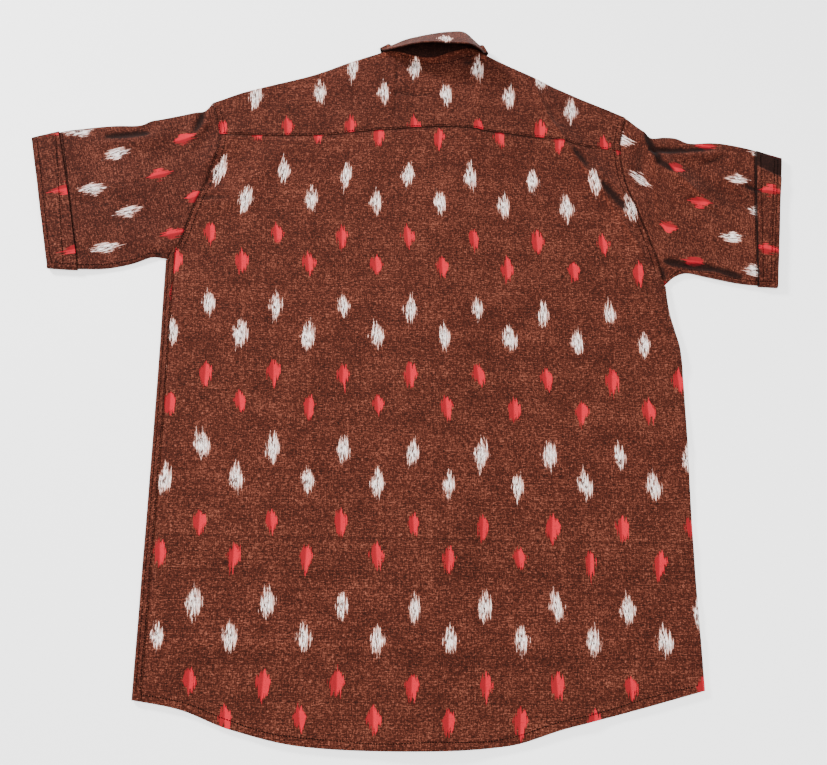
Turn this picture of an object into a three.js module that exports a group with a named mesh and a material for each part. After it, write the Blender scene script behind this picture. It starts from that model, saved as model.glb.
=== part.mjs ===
// A short-sleeved ikat shirt, buttoned and laid flat with its back up.
// Millimetres, +Z up, +Y towards the collar, the fronts resting on z = 0.
import * as THREE from 'three';

// ---------------------------------------------------------------- driving sizes
const CLOTH = 1.2;
const COLLAR_CLOTH = 1.6;
const SEAM_GAP = 0.3;
const FOLD_RADIUS = 1.5;
const UNDER = CLOTH / 2;
const OVER = UNDER + 2 * FOLD_RADIUS;
const FOLD_REACH = FOLD_RADIUS + CLOTH / 2;
const STRADDLE = CLOTH + SEAM_GAP;
const ARMHOLE_GAP = 0.66;

const CENTRE_X = 22;
const LAP_HALF = 17;
const SIDE_SEAM_INSET = 12;
const YOKE_FORWARD = 45;
const CUFF_RAMP = { flat: 2, end: 30 };

const BUTTON = { radius: 5.7, height: 2.4, rim: 0.5 };
const BUTTON_ROWS = { first: 205, pitch: 92, count: 6 };
const COLLAR_BUTTON_Y = 289;

const LEFT = -1;
const RIGHT = 1;

// Height that the buttons and the collar leaf below them give to the cloth that lies on them.
const RAISED = BUTTON.height + SEAM_GAP;
const PLACKET_RAMP = { flat: LAP_HALF + 3, end: LAP_HALF + 48 };
const COLLAR_ZONE = { y: 312, halfWidth: 92, halfLength: 90, flat: 1.04, end: 1.5 };
const LAP_RAMP = { flat: LAP_HALF + 2, end: LAP_HALF + 55 };
const LAP_CLEARANCE = 1.1;
const LAP_FADE = 30;
// Where the fronts are cut into columns beside the lap, from the centre front.
const LAP_COLUMNS = {
  left: [-50, -34, -LAP_HALF, 0, LAP_HALF],
  right: [-LAP_HALF, 0, LAP_HALF + 2, 36, 54],
};

// ---------------------------------------------------------------- outlines
const HEM = [
  { x: -266, y: -352 }, { x: -216, y: -361 }, { x: -169, y: -378 }, { x: -100, y: -393 },
  { x: 3, y: -396.5 }, { x: 100, y: -391 }, { x: 155, y: -375 }, { x: 214, y: -360 }, { x: 298, y: -337 },
];
const BACK_YOKE_SEAM = [
  { x: -217, y: 251 }, { x: -111, y: 254 }, { x: -27, y: 263 }, { x: 41, y: 269 },
  { x: 93, y: 264 }, { x: 150, y: 259 }, { x: 190, y: 251 }, { x: 235, y: 248 },
];
const LEFT_SHOULDER = [
  { x: -226, y: 291 }, { x: -190, y: 306 }, { x: -118, y: 329.5 }, { x: -46, y: 358 },
];
const RIGHT_SHOULDER = [
  { x: 91, y: 358 }, { x: 118, y: 344.5 }, { x: 145, y: 332 }, { x: 242, y: 291 },
];
const LEFT_SIDE = [{ y: -352, x: -263 }, { y: -45, x: -263.5 }, { y: 100, x: -265 }];
const RIGHT_SIDE = [
  { y: -339, x: 296 }, { y: -200, x: 293 }, { y: -53, x: 293 }, { y: 13, x: 291 },
  { y: 35, x: 286 }, { y: 58, x: 281 }, { y: 85, x: 279 },
];
const LEFT_ARMHOLE = [
  { y: 289, x: -226 }, { y: 259, x: -218 }, { y: 238, x: -216 }, { y: 205, x: -224 },
  { y: 155, x: -241 }, { y: 115, x: -252.9 }, { y: 100, x: -263 },
];
const RIGHT_ARMHOLE = [
  { y: 289, x: 242 }, { y: 251, x: 235 }, { y: 205, x: 240 }, { y: 143, x: 262 },
  { y: 110, x: 272 }, { y: 85, x: 277 },
];
const LEFT_ARMHOLE_FRONT = [
  { y: 289, x: -226 }, { y: 245, x: -211 }, { y: 200, x: -214 }, { y: 150, x: -232 },
  { y: 115, x: -249 }, { y: 100, x: -263 },
];
const RIGHT_ARMHOLE_FRONT = [
  { y: 289, x: 242 }, { y: 245, x: 229 }, { y: 200, x: 232 }, { y: 150, x: 247 },
  { y: 115, x: 261 }, { y: 97, x: 265.9 }, { y: 85, x: 277 },
];
const LEFT_UNDERARM = { y: 100, seamY: 115 };
const RIGHT_UNDERARM = { y: 85, seamY: 97 };

// Half the width of the front neckline, measured each side of the centre front.
const FRONT_NECKLINE = [
  { half: 0, y: 276 }, { half: 16, y: 277.5 }, { half: 32, y: 288 }, { half: 45, y: 304 },
  { half: 51.5, y: 319 }, { half: 58, y: 340 }, { half: 60, y: 358 },
];
const BACK_NECKLINE = [
  { x: -38, y: 359.5 }, { x: -30, y: 362 }, { x: -13, y: 360 }, { x: 10, y: 355 },
  { x: 26, y: 356.5 }, { x: 41, y: 363 }, { x: 60, y: 368.5 }, { x: 70, y: 367.5 }, { x: 82, y: 360.5 },
];

// Sleeve outlines, from the armhole to the open end: the fold over the arm and the one under it.
// cuff is the depth of the band at each of them.
const LEFT_SLEEVE = {
  side: LEFT,
  cuff: { over: 28, under: 31 },
  over: [
    { x: -226, y: 291 }, { x: -234, y: 280 }, { x: -250, y: 276 }, { x: -283, y: 267.5 },
    { x: -292, y: 265.5 }, { x: -304, y: 259.5 }, { x: -333, y: 257.5 }, { x: -380, y: 250 },
    { x: -421, y: 238 },
  ],
  under: [
    { x: -263.4, y: 100.4 }, { x: -279, y: 102 }, { x: -300, y: 94 }, { x: -325, y: 88 },
    { x: -355, y: 86 }, { x: -389, y: 87 },
  ],
};
const RIGHT_SLEEVE = {
  side: RIGHT,
  cuff: { over: 27, under: 20 },
  over: [
    { x: 242, y: 291 }, { x: 262, y: 272 }, { x: 271, y: 264 }, { x: 285, y: 266.5 },
    { x: 300, y: 266 }, { x: 314, y: 260 }, { x: 342, y: 261.5 }, { x: 366, y: 259 },
    { x: 420, y: 244 },
  ],
  under: [
    { x: 277.4, y: 85.4 }, { x: 289, y: 96 }, { x: 302, y: 101 }, { x: 326, y: 97 },
    { x: 366, y: 90 }, { x: 403, y: 88 },
  ],
};

// ---------------------------------------------------------------- folds in the upper layer
// Each ridge runs from one point to another; a trough has a negative height.
const RIDGES = [
  { fold: 'shoulder, top', x0: 139, y0: 331, x1: 160, y1: 268, height: 3.5, halfWidth: 17 },
  { fold: 'shoulder, upper', x0: 160, y0: 268, x1: 199, y1: 220, height: 6.0, halfWidth: 16 },
  { fold: 'shoulder, lower', x0: 199, y0: 220, x1: 237, y1: 179, height: 6.5, halfWidth: 15 },
  { fold: 'armhole, right', x0: 237, y0: 179, x1: 254, y1: 67, height: 4.0, halfWidth: 16 },
  { fold: 'armpit roll', x0: 262, y0: 91, x1: 281, y1: 1, height: 4.0, halfWidth: 14 },
  { fold: 'armhole, left low', x0: -233, y0: 172, x1: -184, y1: 177, height: 2.6, halfWidth: 13 },
  { fold: 'armhole, left high', x0: -230, y0: 212, x1: -199, y1: 250, height: 2.2, halfWidth: 13 },
  { fold: 'shoulder blade', x0: -180, y0: 201, x1: -138, y1: 240, height: 1.8, halfWidth: 16 },
  { fold: 'rib, left', x0: -184, y0: 78, x1: -97, y1: 35, height: 1.6, halfWidth: 20 },
  { fold: 'rib, left side', x0: -240, y0: 40, x1: -181, y1: 27, height: 1.5, halfWidth: 18 },
  { fold: 'rib, right', x0: 140, y0: 82, x1: 178, y1: 66, height: 1.6, halfWidth: 18 },
  { fold: 'yoke, middle', x0: 70, y0: 340, x1: 69, y1: 241, height: 1.6, halfWidth: 14 },
  { fold: 'packing line', x0: -235, y0: -300, x1: 270, y1: -290, height: 1.2, halfWidth: 14 },
  { fold: 'hem, right', x0: 150, y0: -345, x1: 175, y1: -362, height: 1.8, halfWidth: 12 },
  { fold: 'left sleeve, upper', x0: -339, y0: 236, x1: -285, y1: 243, height: 3.2, halfWidth: 12 },
  { fold: 'left sleeve, shoulder', x0: -246, y0: 243, x1: -237, y1: 272, height: 2.6, halfWidth: 10 },
  { fold: 'left sleeve, middle', x0: -320, y0: 184, x1: -285, y1: 193, height: 2.0, halfWidth: 14 },
  { fold: 'left sleeve, lower', x0: -309, y0: 132, x1: -266, y1: 118, height: 2.2, halfWidth: 14 },
  { fold: 'right sleeve, long', x0: 262, y0: 262, x1: 313, y1: 200, height: 5.5, halfWidth: 13 },
  { fold: 'right sleeve, upper', x0: 275, y0: 243, x1: 345, y1: 247, height: 3.6, halfWidth: 10 },
  { fold: 'right sleeve, cuff', x0: 350, y0: 218, x1: 376, y1: 209, height: 2.4, halfWidth: 11 },
  { fold: 'right sleeve, lower', x0: 283, y0: 116, x1: 360, y1: 101, height: 3.0, halfWidth: 11 },
];
const NECK_SWELL = { x: 22, y: 362, radius: 80, height: 1.5 };

// ---------------------------------------------------------------- collar
// A row for each section, from the left collar point round the back to the right one.
// seam is where the stand meets the neckline, top its upper edge, edge the free edge of the leaf.
// Rows with turns carry the collar round the shoulder fold; rise lifts the leaf off the back.
const COLLAR = [
  { section: 'left point', seam: [22, 276.8], top: [18, 304], edge: [-12, 236], turn: -90, rise: 0 },
  { section: 'left front', seam: [-3, 288.5], top: [7, 314], edge: [-41, 264], turn: -90, rise: 0 },
  { section: 'left neck', seam: [-27, 315], top: [-8, 335], edge: [-56, 304], turn: -90, rise: 0 },
  { section: 'left side', seam: [-34.5, 360], top: [-29, 366], edge: [-37, 361], turns: true, rise: 0 },
  { section: 'left back', seam: [-14, 362], top: [-11, 374.5], edge: [-24, 355], turn: 90, rise: 14 },
  { section: 'middle', seam: [10, 356.5], top: [14, 382], edge: [8, 355], turn: 90, rise: 27 },
  { section: 'right of middle', seam: [38, 363.5], top: [40, 387], edge: [40, 355], turn: 90, rise: 28 },
  { section: 'right back', seam: [58, 370.5], top: [57, 387], edge: [62, 355.5], turn: 90, rise: 26 },
  { section: 'right shoulder', seam: [70, 369.5], top: [68.5, 377], edge: [74, 355], turn: 90, rise: 17 },
  { section: 'right side', seam: [79, 360.5], top: [76, 370], edge: [80.5, 362], turns: true, rise: 0 },
  { section: 'right neck', seam: [71, 315], top: [52, 335], edge: [100, 304], turn: -90, rise: 0 },
  { section: 'right front', seam: [47, 288.5], top: [37, 314], edge: [85, 264], turn: -90, rise: 0 },
  { section: 'right point', seam: [22, 276.8], top: [26, 304], edge: [56, 236], turn: -90, rise: 0 },
];
const TURN_ANGLES = [-90, -45, 0, 45, 90];
const COLLAR_AXIS = RAISED + OVER - FOLD_RADIUS;
const STAND_TURN = { reach: 1.3, height: 1.3, swell: 1.5 };
const ROOT_TURN = { reach: 1.6, height: 1.3, swell: 1.9 };
const LEAF_TURN = { reach: 5.0, height: COLLAR_AXIS - COLLAR_CLOTH / 2, swell: 2.6 };
const NECK_GAP = 0.8;
const ROLL_GAP = 1.1;
const ROLL_BULGE = 2.1;
const STAND_LAP = { length: 15, drop: COLLAR_CLOTH + SEAM_GAP, from: 0.86, to: 0.97 };

// ---------------------------------------------------------------- cuts of the grids
const ROWS_BELOW_ARMS = 13;
const FOLD_STEPS = 4;
const BACK_GRID = { columns: 24, above: 8 };
const YOKE_GRID = { left: 9, neck: 12, right: 9, back: 6, forward: 3 };
const FRONT_GRID = { above: 9, panel: 7 };
const SLEEVE_GRID = { over: 11, under: 5, along: 11, cuff: 3 };
const COLLAR_GRID = { between: 3, stand: 3, roll: 4, fall: 3 };
const BUTTON_SIDES = 12;

// Puts the middle of the outline over the origin.
const PLACE = { x: 0.55, y: 3.22 };

const COLOURS = { brown: 0x73372a, button: 0x3a241c };

// Rounds of the search for where a row meets an edge, and the play allowed at its ends.
const ROUNDS = 8;
const PLAY = 0.01;
const BEFORE_CUFF = 0.02;

// ---------------------------------------------------------------- small tools
function mix(a, b, share) {
  return a + (b - a) * share;
}

function smoothstep(from, to, at) {
  const share = Math.min(Math.max((at - from) / (to - from), 0), 1);
  return share * share * (3 - 2 * share);
}

function steps(count) {
  return Array.from({ length: count + 1 }, (_, i) => i / count);
}

// A smooth curve through a table, giving column `to` at a value of column `from`.
// Past the ends it goes on straight.
function tableCurve(rows, from, to) {
  const knots = [...rows].sort((a, b) => a[from] - b[from]);
  const last = knots.length - 1;
  const slopes = knots.map((_, i) => {
    const before = knots[Math.max(i - 1, 0)];
    const after = knots[Math.min(i + 1, last)];
    return (after[to] - before[to]) / (after[from] - before[from]);
  });
  return (at) => {
    if (at <= knots[0][from]) return knots[0][to] + slopes[0] * (at - knots[0][from]);
    if (at >= knots[last][from]) return knots[last][to] + slopes[last] * (at - knots[last][from]);
    const i = knots.findIndex((knot) => knot[from] > at) - 1;
    const span = knots[i + 1][from] - knots[i][from];
    const t = (at - knots[i][from]) / span;
    const blend = 3 * t ** 2 - 2 * t ** 3;
    const bend = (t ** 3 - 2 * t ** 2 + t) * slopes[i] + (t ** 3 - t ** 2) * slopes[i + 1];
    return mix(knots[i][to], knots[i + 1][to], blend) + span * bend;
  };
}

function distanceToSegment(x, y, ridge) {
  const dx = ridge.x1 - ridge.x0;
  const dy = ridge.y1 - ridge.y0;
  const along = ((x - ridge.x0) * dx + (y - ridge.y0) * dy) / (dx * dx + dy * dy);
  const share = Math.min(Math.max(along, 0), 1);
  return Math.hypot(x - ridge.x0 - dx * share, y - ridge.y0 - dy * share);
}

// ---------------------------------------------------------------- heights of the layers
function raise(x, y) {
  const strip = 1 - smoothstep(PLACKET_RAMP.flat, PLACKET_RAMP.end, Math.abs(x - CENTRE_X));
  const across = (x - CENTRE_X) / COLLAR_ZONE.halfWidth;
  const reach = Math.hypot(across, (y - COLLAR_ZONE.y) / COLLAR_ZONE.halfLength);
  const collar = 1 - smoothstep(COLLAR_ZONE.flat, COLLAR_ZONE.end, reach);
  return RAISED * Math.max(strip, collar);
}

function lapRaise(x) {
  return STRADDLE * (1 - smoothstep(LAP_RAMP.flat, LAP_RAMP.end, x - CENTRE_X));
}

function relief(x, y) {
  const fromCentre = Math.abs(x - CENTRE_X);
  const lap = LAP_CLEARANCE * (1 - smoothstep(LAP_RAMP.flat, LAP_RAMP.end + LAP_FADE, fromCentre));
  const toNeck = Math.hypot(x - NECK_SWELL.x, y - NECK_SWELL.y);
  const neck = NECK_SWELL.height * (1 - smoothstep(0, NECK_SWELL.radius, toNeck));
  const folds = RIDGES.map((ridge) => {
    const away = distanceToSegment(x, y, ridge) / ridge.halfWidth;
    return ridge.height * Math.exp(-away * away);
  });
  return Math.max(lap, neck) + Math.max(...folds);
}

function underPoint(x, y, extra = 0) {
  return new THREE.Vector3(x, y, UNDER + raise(x, y) + extra);
}

function overPoint(x, y, extra = 0) {
  return new THREE.Vector3(x, y, OVER + raise(x, y) + relief(x, y) + extra);
}

// A point where cloth turns over an edge: turn runs from 0 on the upper layer to 1 on the lower.
function foldPoint(x, y, away, turn, extra = 0) {
  const angle = turn * Math.PI;
  const lifted = FOLD_RADIUS * (1 + Math.cos(angle)) + relief(x, y) * (1 + Math.cos(angle)) / 2;
  const reach = FOLD_RADIUS * Math.sin(angle);
  const height = UNDER + raise(x, y) + lifted + extra;
  return new THREE.Vector3(x + away[0] * reach, y + away[1] * reach, height);
}

// ---------------------------------------------------------------- cloth walls
// The cells of a grid that are kept, as corner indices; a ring joins its last column to its first.
function keptCells(grid, keep, ring) {
  const columns = grid[0].length;
  const across = ring ? columns : columns - 1;
  const cells = [];
  for (let j = 0; j < grid.length - 1; j += 1) {
    for (let i = 0; i < across; i += 1) {
      const next = (i + 1) % columns;
      const row = j * columns;
      const above = row + columns;
      if (keep(j, i)) cells.push([row + i, row + next, above + next, above + i]);
    }
  }
  return cells;
}

function pointNormals(points, cells) {
  const normals = points.map(() => new THREE.Vector3());
  for (const [a, b, c, d] of cells) {
    const across = points[c].clone().sub(points[a]);
    const up = points[d].clone().sub(points[b]);
    const normal = across.cross(up);
    for (const corner of [a, b, c, d]) normals[corner].add(normal);
  }
  return normals.map((normal) => normal.normalize());
}

function rimEdges(cells) {
  const edges = new Map();
  for (const cell of cells) {
    cell.forEach((from, k) => {
      const to = cell[(k + 1) % 4];
      if (edges.has(`${to},${from}`)) edges.delete(`${to},${from}`);
      else edges.set(`${from},${to}`, [from, to]);
    });
  }
  return [...edges.values()];
}

function closedGeometry(vertices, faces) {
  const geometry = new THREE.BufferGeometry();
  let volume = 0;
  for (const [a, b, c] of faces) {
    volume += vertices[a].dot(vertices[b].clone().cross(vertices[c]));
  }
  const outward = volume > 0 ? faces : faces.map(([a, b, c]) => [a, c, b]);
  const places = vertices.flatMap((vertex) => vertex.toArray());
  geometry.setAttribute('position', new THREE.Float32BufferAttribute(places, 3));
  geometry.setIndex(outward.flat());
  geometry.computeVertexNormals();
  return geometry;
}

// One closed wall of even thickness with the grid halfway through it.
function wall(grid, thickness, keep = () => true, ring = false) {
  const points = grid.flat();
  const cells = keptCells(grid, keep, ring);
  const normals = pointNormals(points, cells);
  const used = [...new Set(cells.flat())];
  const place = new Map(used.map((corner, k) => [corner, k]));
  const shifted = (side) => {
    return used.map((k) => points[k].clone().addScaledVector(normals[k], side * thickness / 2));
  };
  const faces = [];
  const quad = (a, b, c, d) => faces.push([a, b, c], [a, c, d]);
  const outer = (corner) => place.get(corner);
  const inner = (corner) => place.get(corner) + used.length;
  for (const [a, b, c, d] of cells) {
    quad(outer(a), outer(b), outer(c), outer(d));
    quad(inner(c), inner(b), inner(a), inner(d));
  }
  for (const [from, to] of rimEdges(cells)) quad(outer(to), outer(from), inner(from), inner(to));
  return closedGeometry([...shifted(1), ...shifted(-1)], faces);
}

function piece(name, geometry, colour = COLOURS.brown, roughness = 0.9) {
  const material = new THREE.MeshStandardMaterial({ color: colour, roughness, metalness: 0 });
  const mesh = new THREE.Mesh(geometry, material);
  mesh.name = name;
  return mesh;
}

// ---------------------------------------------------------------- curves of the cut
const hemY = tableCurve(HEM, 'x', 'y');
const backYokeY = tableCurve(BACK_YOKE_SEAM, 'x', 'y');
const leftShoulderY = tableCurve(LEFT_SHOULDER, 'x', 'y');
const rightShoulderY = tableCurve(RIGHT_SHOULDER, 'x', 'y');
const leftSideX = tableCurve(LEFT_SIDE, 'y', 'x');
const rightSideX = tableCurve(RIGHT_SIDE, 'y', 'x');
const leftArmholeX = tableCurve(LEFT_ARMHOLE, 'y', 'x');
const rightArmholeX = tableCurve(RIGHT_ARMHOLE, 'y', 'x');
const leftArmholeFrontX = tableCurve(LEFT_ARMHOLE_FRONT, 'y', 'x');
const rightArmholeFrontX = tableCurve(RIGHT_ARMHOLE_FRONT, 'y', 'x');
const necklineHalf = tableCurve(FRONT_NECKLINE, 'y', 'half');
const frontNecklineY = tableCurve(FRONT_NECKLINE, 'half', 'y');
const backNecklineY = tableCurve(BACK_NECKLINE, 'x', 'y');

const NECK_LEFT = BACK_NECKLINE[0].x;
const NECK_RIGHT = BACK_NECKLINE.at(-1).x;
const ARM_LEFT = LEFT_ARMHOLE[0].x;
const ARM_RIGHT = RIGHT_ARMHOLE[0].x;
const ARM_TOP = LEFT_ARMHOLE[0].y;

// The level of the underarms, a straight line between two heights at the body's edges.
function armLevel(leftY, rightY) {
  const from = LEFT_SIDE.at(-1).x;
  const to = RIGHT_SIDE.at(-1).x;
  return (x) => mix(leftY, rightY, (x - from) / (to - from));
}

// Where a row of a panel meets an edge that is given as x at each y.
function rowEnd(edge, rowY, guess) {
  let x = guess;
  for (let round = 0; round < ROUNDS; round += 1) x = edge(rowY(x));
  return x;
}

// Rows of a panel from the hem to the underarm level, then on to an upper curve.
function panelRows(level, upper, countAbove) {
  const below = steps(ROWS_BELOW_ARMS);
  const above = steps(countAbove).slice(1);
  return [
    ...below.map((share) => ({ share, y: (x) => mix(hemY(x), level(x), share) })),
    ...above.map((share) => ({ share: 1, y: (x) => mix(level(x), upper(x), share) })),
  ];
}

// The strip past a side fold, up to its seam: its rows end along the armhole, so they slope.
function stripPoint(place, row, side, underarm, sideX, share) {
  const inset = mix(FOLD_REACH, SIDE_SEAM_INSET, share);
  let x = sideX(underarm.y) - side * inset;
  let y = underarm.y;
  for (let round = 0; round < ROUNDS; round += 1) {
    y = mix(hemY(x), mix(underarm.y, underarm.seamY, share), row.share);
    x = sideX(y) - side * inset;
  }
  return place(x, y);
}

// ---------------------------------------------------------------- back
function makeBack() {
  const leftEdge = (y) => {
    const seam = leftSideX(y) + SIDE_SEAM_INSET + SEAM_GAP;
    return y <= LEFT_UNDERARM.seamY + PLAY ? seam : leftArmholeX(y);
  };
  const rightEdge = (y) => (y <= RIGHT_UNDERARM.y ? rightSideX(y) - FOLD_REACH : rightArmholeX(y));
  const level = armLevel(LEFT_UNDERARM.seamY, RIGHT_UNDERARM.y);
  const upper = (x) => backYokeY(x) - 2 * SEAM_GAP;
  const rows = panelRows(level, upper, BACK_GRID.above);
  const grid = rows.map((row) => {
    const left = rowEnd(leftEdge, row.y, ARM_LEFT);
    const right = rowEnd(rightEdge, row.y, ARM_RIGHT);
    const across = steps(BACK_GRID.columns).map((share) => {
      const x = mix(left, right, share);
      return overPoint(x, row.y(x));
    });
    const turn = steps(FOLD_STEPS).slice(1).map((share) => foldPoint(right, row.y(right), [1, 0], share));
    const strip = [0.5, 1].map((share) => {
      return stripPoint(underPoint, row, RIGHT, RIGHT_UNDERARM, rightSideX, share);
    });
    return [...across, ...turn, ...strip];
  });
  return piece('back', wall(grid, CLOTH, (j, i) => i < BACK_GRID.columns || j < ROWS_BELOW_ARMS));
}

// ---------------------------------------------------------------- yoke
function frontYokeY(x) {
  return (x < CENTRE_X ? leftShoulderY(x) : rightShoulderY(x)) - YOKE_FORWARD;
}

function yokeCrownY(x) {
  if (x < NECK_LEFT) return leftShoulderY(x) - FOLD_REACH;
  if (x > NECK_RIGHT) return rightShoulderY(x) - FOLD_REACH;
  return backNecklineY(x) - SEAM_GAP;
}

function yokeCrownColumns() {
  return [
    ...steps(YOKE_GRID.left).slice(0, -1).map((share) => mix(ARM_LEFT, NECK_LEFT, share)),
    ...steps(YOKE_GRID.neck).map((share) => mix(NECK_LEFT, NECK_RIGHT, share)),
    ...steps(YOKE_GRID.right).slice(1).map((share) => mix(NECK_RIGHT, ARM_RIGHT, share)),
  ];
}

function yokeBackPoint(crownX, share) {
  const across = (crownX - ARM_LEFT) / (ARM_RIGHT - ARM_LEFT);
  let x = crownX;
  for (let round = 0; round < ROUNDS; round += 1) {
    const y = Math.min(mix(backYokeY(x), yokeCrownY(crownX), share), ARM_TOP);
    x = mix(leftArmholeX(y), rightArmholeX(y), across);
  }
  return overPoint(x, mix(backYokeY(x), yokeCrownY(crownX), share));
}

function yokeFrontPoint(crownX, share) {
  const onLeft = crownX < CENTRE_X;
  const side = onLeft ? LEFT : RIGHT;
  const armX = onLeft ? ARM_LEFT : ARM_RIGHT;
  const neckX = onLeft ? NECK_LEFT : NECK_RIGHT;
  const across = (crownX - armX) / (neckX - armX);
  const armhole = onLeft ? leftArmholeFrontX : rightArmholeFrontX;
  const foldY = yokeCrownY(across > 1 - PLAY ? neckX + side * PLAY : crownX);
  let x = crownX;
  let y = foldY;
  for (let round = 0; round < ROUNDS; round += 1) {
    y = mix(foldY, frontYokeY(x), share);
    const neck = CENTRE_X + side * (necklineHalf(y) + SEAM_GAP);
    x = mix(armhole(y), neck, across);
  }
  return underPoint(mix(crownX, x, Math.min(share * 3, 1)), y);
}

function makeYoke() {
  const columns = yokeCrownColumns();
  const crown = YOKE_GRID.back;
  const back = steps(crown).map((share) => columns.map((x) => yokeBackPoint(x, share)));
  const turn = steps(FOLD_STEPS).slice(1).map((share) => columns.map((x) => {
    return foldPoint(x, yokeCrownY(x), [0, 1], share);
  }));
  const front = steps(YOKE_GRID.forward).slice(1).map((share) => {
    return columns.map((x) => yokeFrontPoint(x, share));
  });
  const overNeck = (i) => i >= YOKE_GRID.left && i < YOKE_GRID.left + YOKE_GRID.neck;
  return piece('yoke', wall([...back, ...turn, ...front], CLOTH, (j, i) => j < crown || !overNeck(i)));
}

// ---------------------------------------------------------------- fronts
function frontCrownY(x) {
  const half = Math.abs(x - CENTRE_X);
  return Math.min(frontYokeY(x), frontNecklineY(half)) - 2 * SEAM_GAP;
}

function leftFrontRow(row, seamX) {
  const tangent = rowEnd(seamX, row.y, ARM_LEFT);
  const y = row.y(tangent);
  const strip = [1, 0.5].map((share) => {
    return stripPoint(overPoint, row, LEFT, LEFT_UNDERARM, leftSideX, share);
  });
  const turn = steps(FOLD_STEPS).slice(0, -1).map((share) => foldPoint(tangent, y, [LEFT, 0], share));
  const inner = CENTRE_X - LAP_RAMP.end;
  const panel = steps(FRONT_GRID.panel).slice(0, -1).map((share) => mix(tangent, inner, share));
  const lap = LAP_COLUMNS.left.map((away) => CENTRE_X + away);
  return [...strip, ...turn, ...[...panel, inner, ...lap].map((x) => underPoint(x, row.y(x)))];
}

function makeLeftFront() {
  const seamX = (y) => (y <= LEFT_UNDERARM.y ? leftSideX(y) + FOLD_REACH : leftArmholeFrontX(y));
  const level = armLevel(LEFT_UNDERARM.y, RIGHT_UNDERARM.y);
  const rows = panelRows(level, frontCrownY, FRONT_GRID.above);
  const grid = rows.map((row) => leftFrontRow(row, seamX));
  const rolled = 2 + FOLD_STEPS;
  return piece('front_left', wall(grid, CLOTH, (j, i) => i >= rolled || j < ROWS_BELOW_ARMS));
}

function makeRightFront() {
  const seamX = (y) => {
    const seam = rightSideX(y) - SIDE_SEAM_INSET - SEAM_GAP;
    return y <= RIGHT_UNDERARM.seamY + PLAY ? seam : rightArmholeFrontX(y);
  };
  const level = armLevel(LEFT_UNDERARM.y, RIGHT_UNDERARM.seamY);
  const rows = panelRows(level, frontCrownY, FRONT_GRID.above);
  const outer = CENTRE_X + LAP_RAMP.end;
  const lap = LAP_COLUMNS.right.map((away) => CENTRE_X + away);
  const grid = rows.map((row) => {
    const right = rowEnd(seamX, row.y, ARM_RIGHT);
    const panel = steps(FRONT_GRID.panel).slice(1).map((share) => mix(outer, right, share));
    return [...lap, outer, ...panel].map((x) => underPoint(x, row.y(x), lapRaise(x)));
  });
  return piece('front_right', wall(grid, CLOTH));
}

// ---------------------------------------------------------------- sleeves and cuffs
// The armhole as points from the shoulder to the underarm.
function armholePoint(curve, table, share) {
  const y = mix(table[0].y, table.at(-1).y, share);
  return [curve(y), y + (FOLD_REACH + 3 * SEAM_GAP) * share];
}

function sleeveOutline(rows) {
  const points = rows.map((row) => new THREE.Vector3(row.x, row.y, 0));
  const curve = new THREE.CatmullRomCurve3(points, false, 'centripetal');
  return (share) => curve.getPointAt(share);
}

// A point of the flat sleeve: along from the armhole to the end, down from the upper fold.
function sleevePlan(sleeve, armhole, along, down) {
  const over = sleeve.overFold(along);
  const under = sleeve.underFold(along);
  const [armX, armY] = armhole(down);
  const overStart = sleeve.overFold(0);
  const underStart = sleeve.underFold(0);
  const pull = (1 - along) ** 2;
  const x = mix(over.x, under.x, down) + pull * (armX - mix(overStart.x, underStart.x, down));
  const y = mix(over.y, under.y, down) + pull * (armY - mix(overStart.y, underStart.y, down));
  return [x + sleeve.side * ARMHOLE_GAP * pull, y];
}

function cuffRaise(toCuff) {
  return STRADDLE * (1 - smoothstep(CUFF_RAMP.flat, CUFF_RAMP.end, toCuff));
}

function makeSleeveGrid(shape, armholes) {
  const sleeve = {
    side: shape.side,
    overFold: sleeveOutline(shape.over.map((row) => ({ x: row.x, y: row.y - FOLD_REACH }))),
    underFold: sleeveOutline(shape.under.map((row) => ({ x: row.x, y: row.y + FOLD_REACH }))),
  };
  const span = (rows) => Math.abs(rows.at(-1).x - rows[0].x);
  const length = (down) => mix(span(shape.over), span(shape.under), down);
  const depth = (down) => mix(shape.cuff.over, shape.cuff.under, down);
  const cuffStart = (down) => 1 - depth(down) / length(down);
  const stations = [
    ...steps(SLEEVE_GRID.along - SLEEVE_GRID.cuff).map((share) => {
      return (down) => share * (cuffStart(down) - BEFORE_CUFF);
    }),
    ...[0, 0.5, 1].map((share) => (down) => mix(cuffStart(down), 1, share)),
  ];
  return stations.map((station) => {
    const extra = (down) => cuffRaise((1 - station(down)) * length(down) - depth(down));
    const plan = (armhole, down) => sleevePlan(sleeve, armhole, station(down), down);
    const upper = steps(SLEEVE_GRID.over).map((down) => {
      return overPoint(...plan(armholes.back, down), extra(down));
    });
    const lower = steps(SLEEVE_GRID.under).reverse().map((down) => {
      return underPoint(...plan(armholes.front, down), extra(down));
    });
    const turns = steps(FOLD_STEPS).slice(1, -1);
    const underarm = plan(armholes.back, 1);
    const overarm = plan(armholes.back, 0);
    return [
      ...upper,
      ...turns.map((turn) => foldPoint(...underarm, [0, -1], turn, extra(1))),
      ...lower,
      ...turns.map((turn) => foldPoint(...overarm, [0, 1], 1 - turn, extra(0))),
    ];
  });
}

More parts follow.
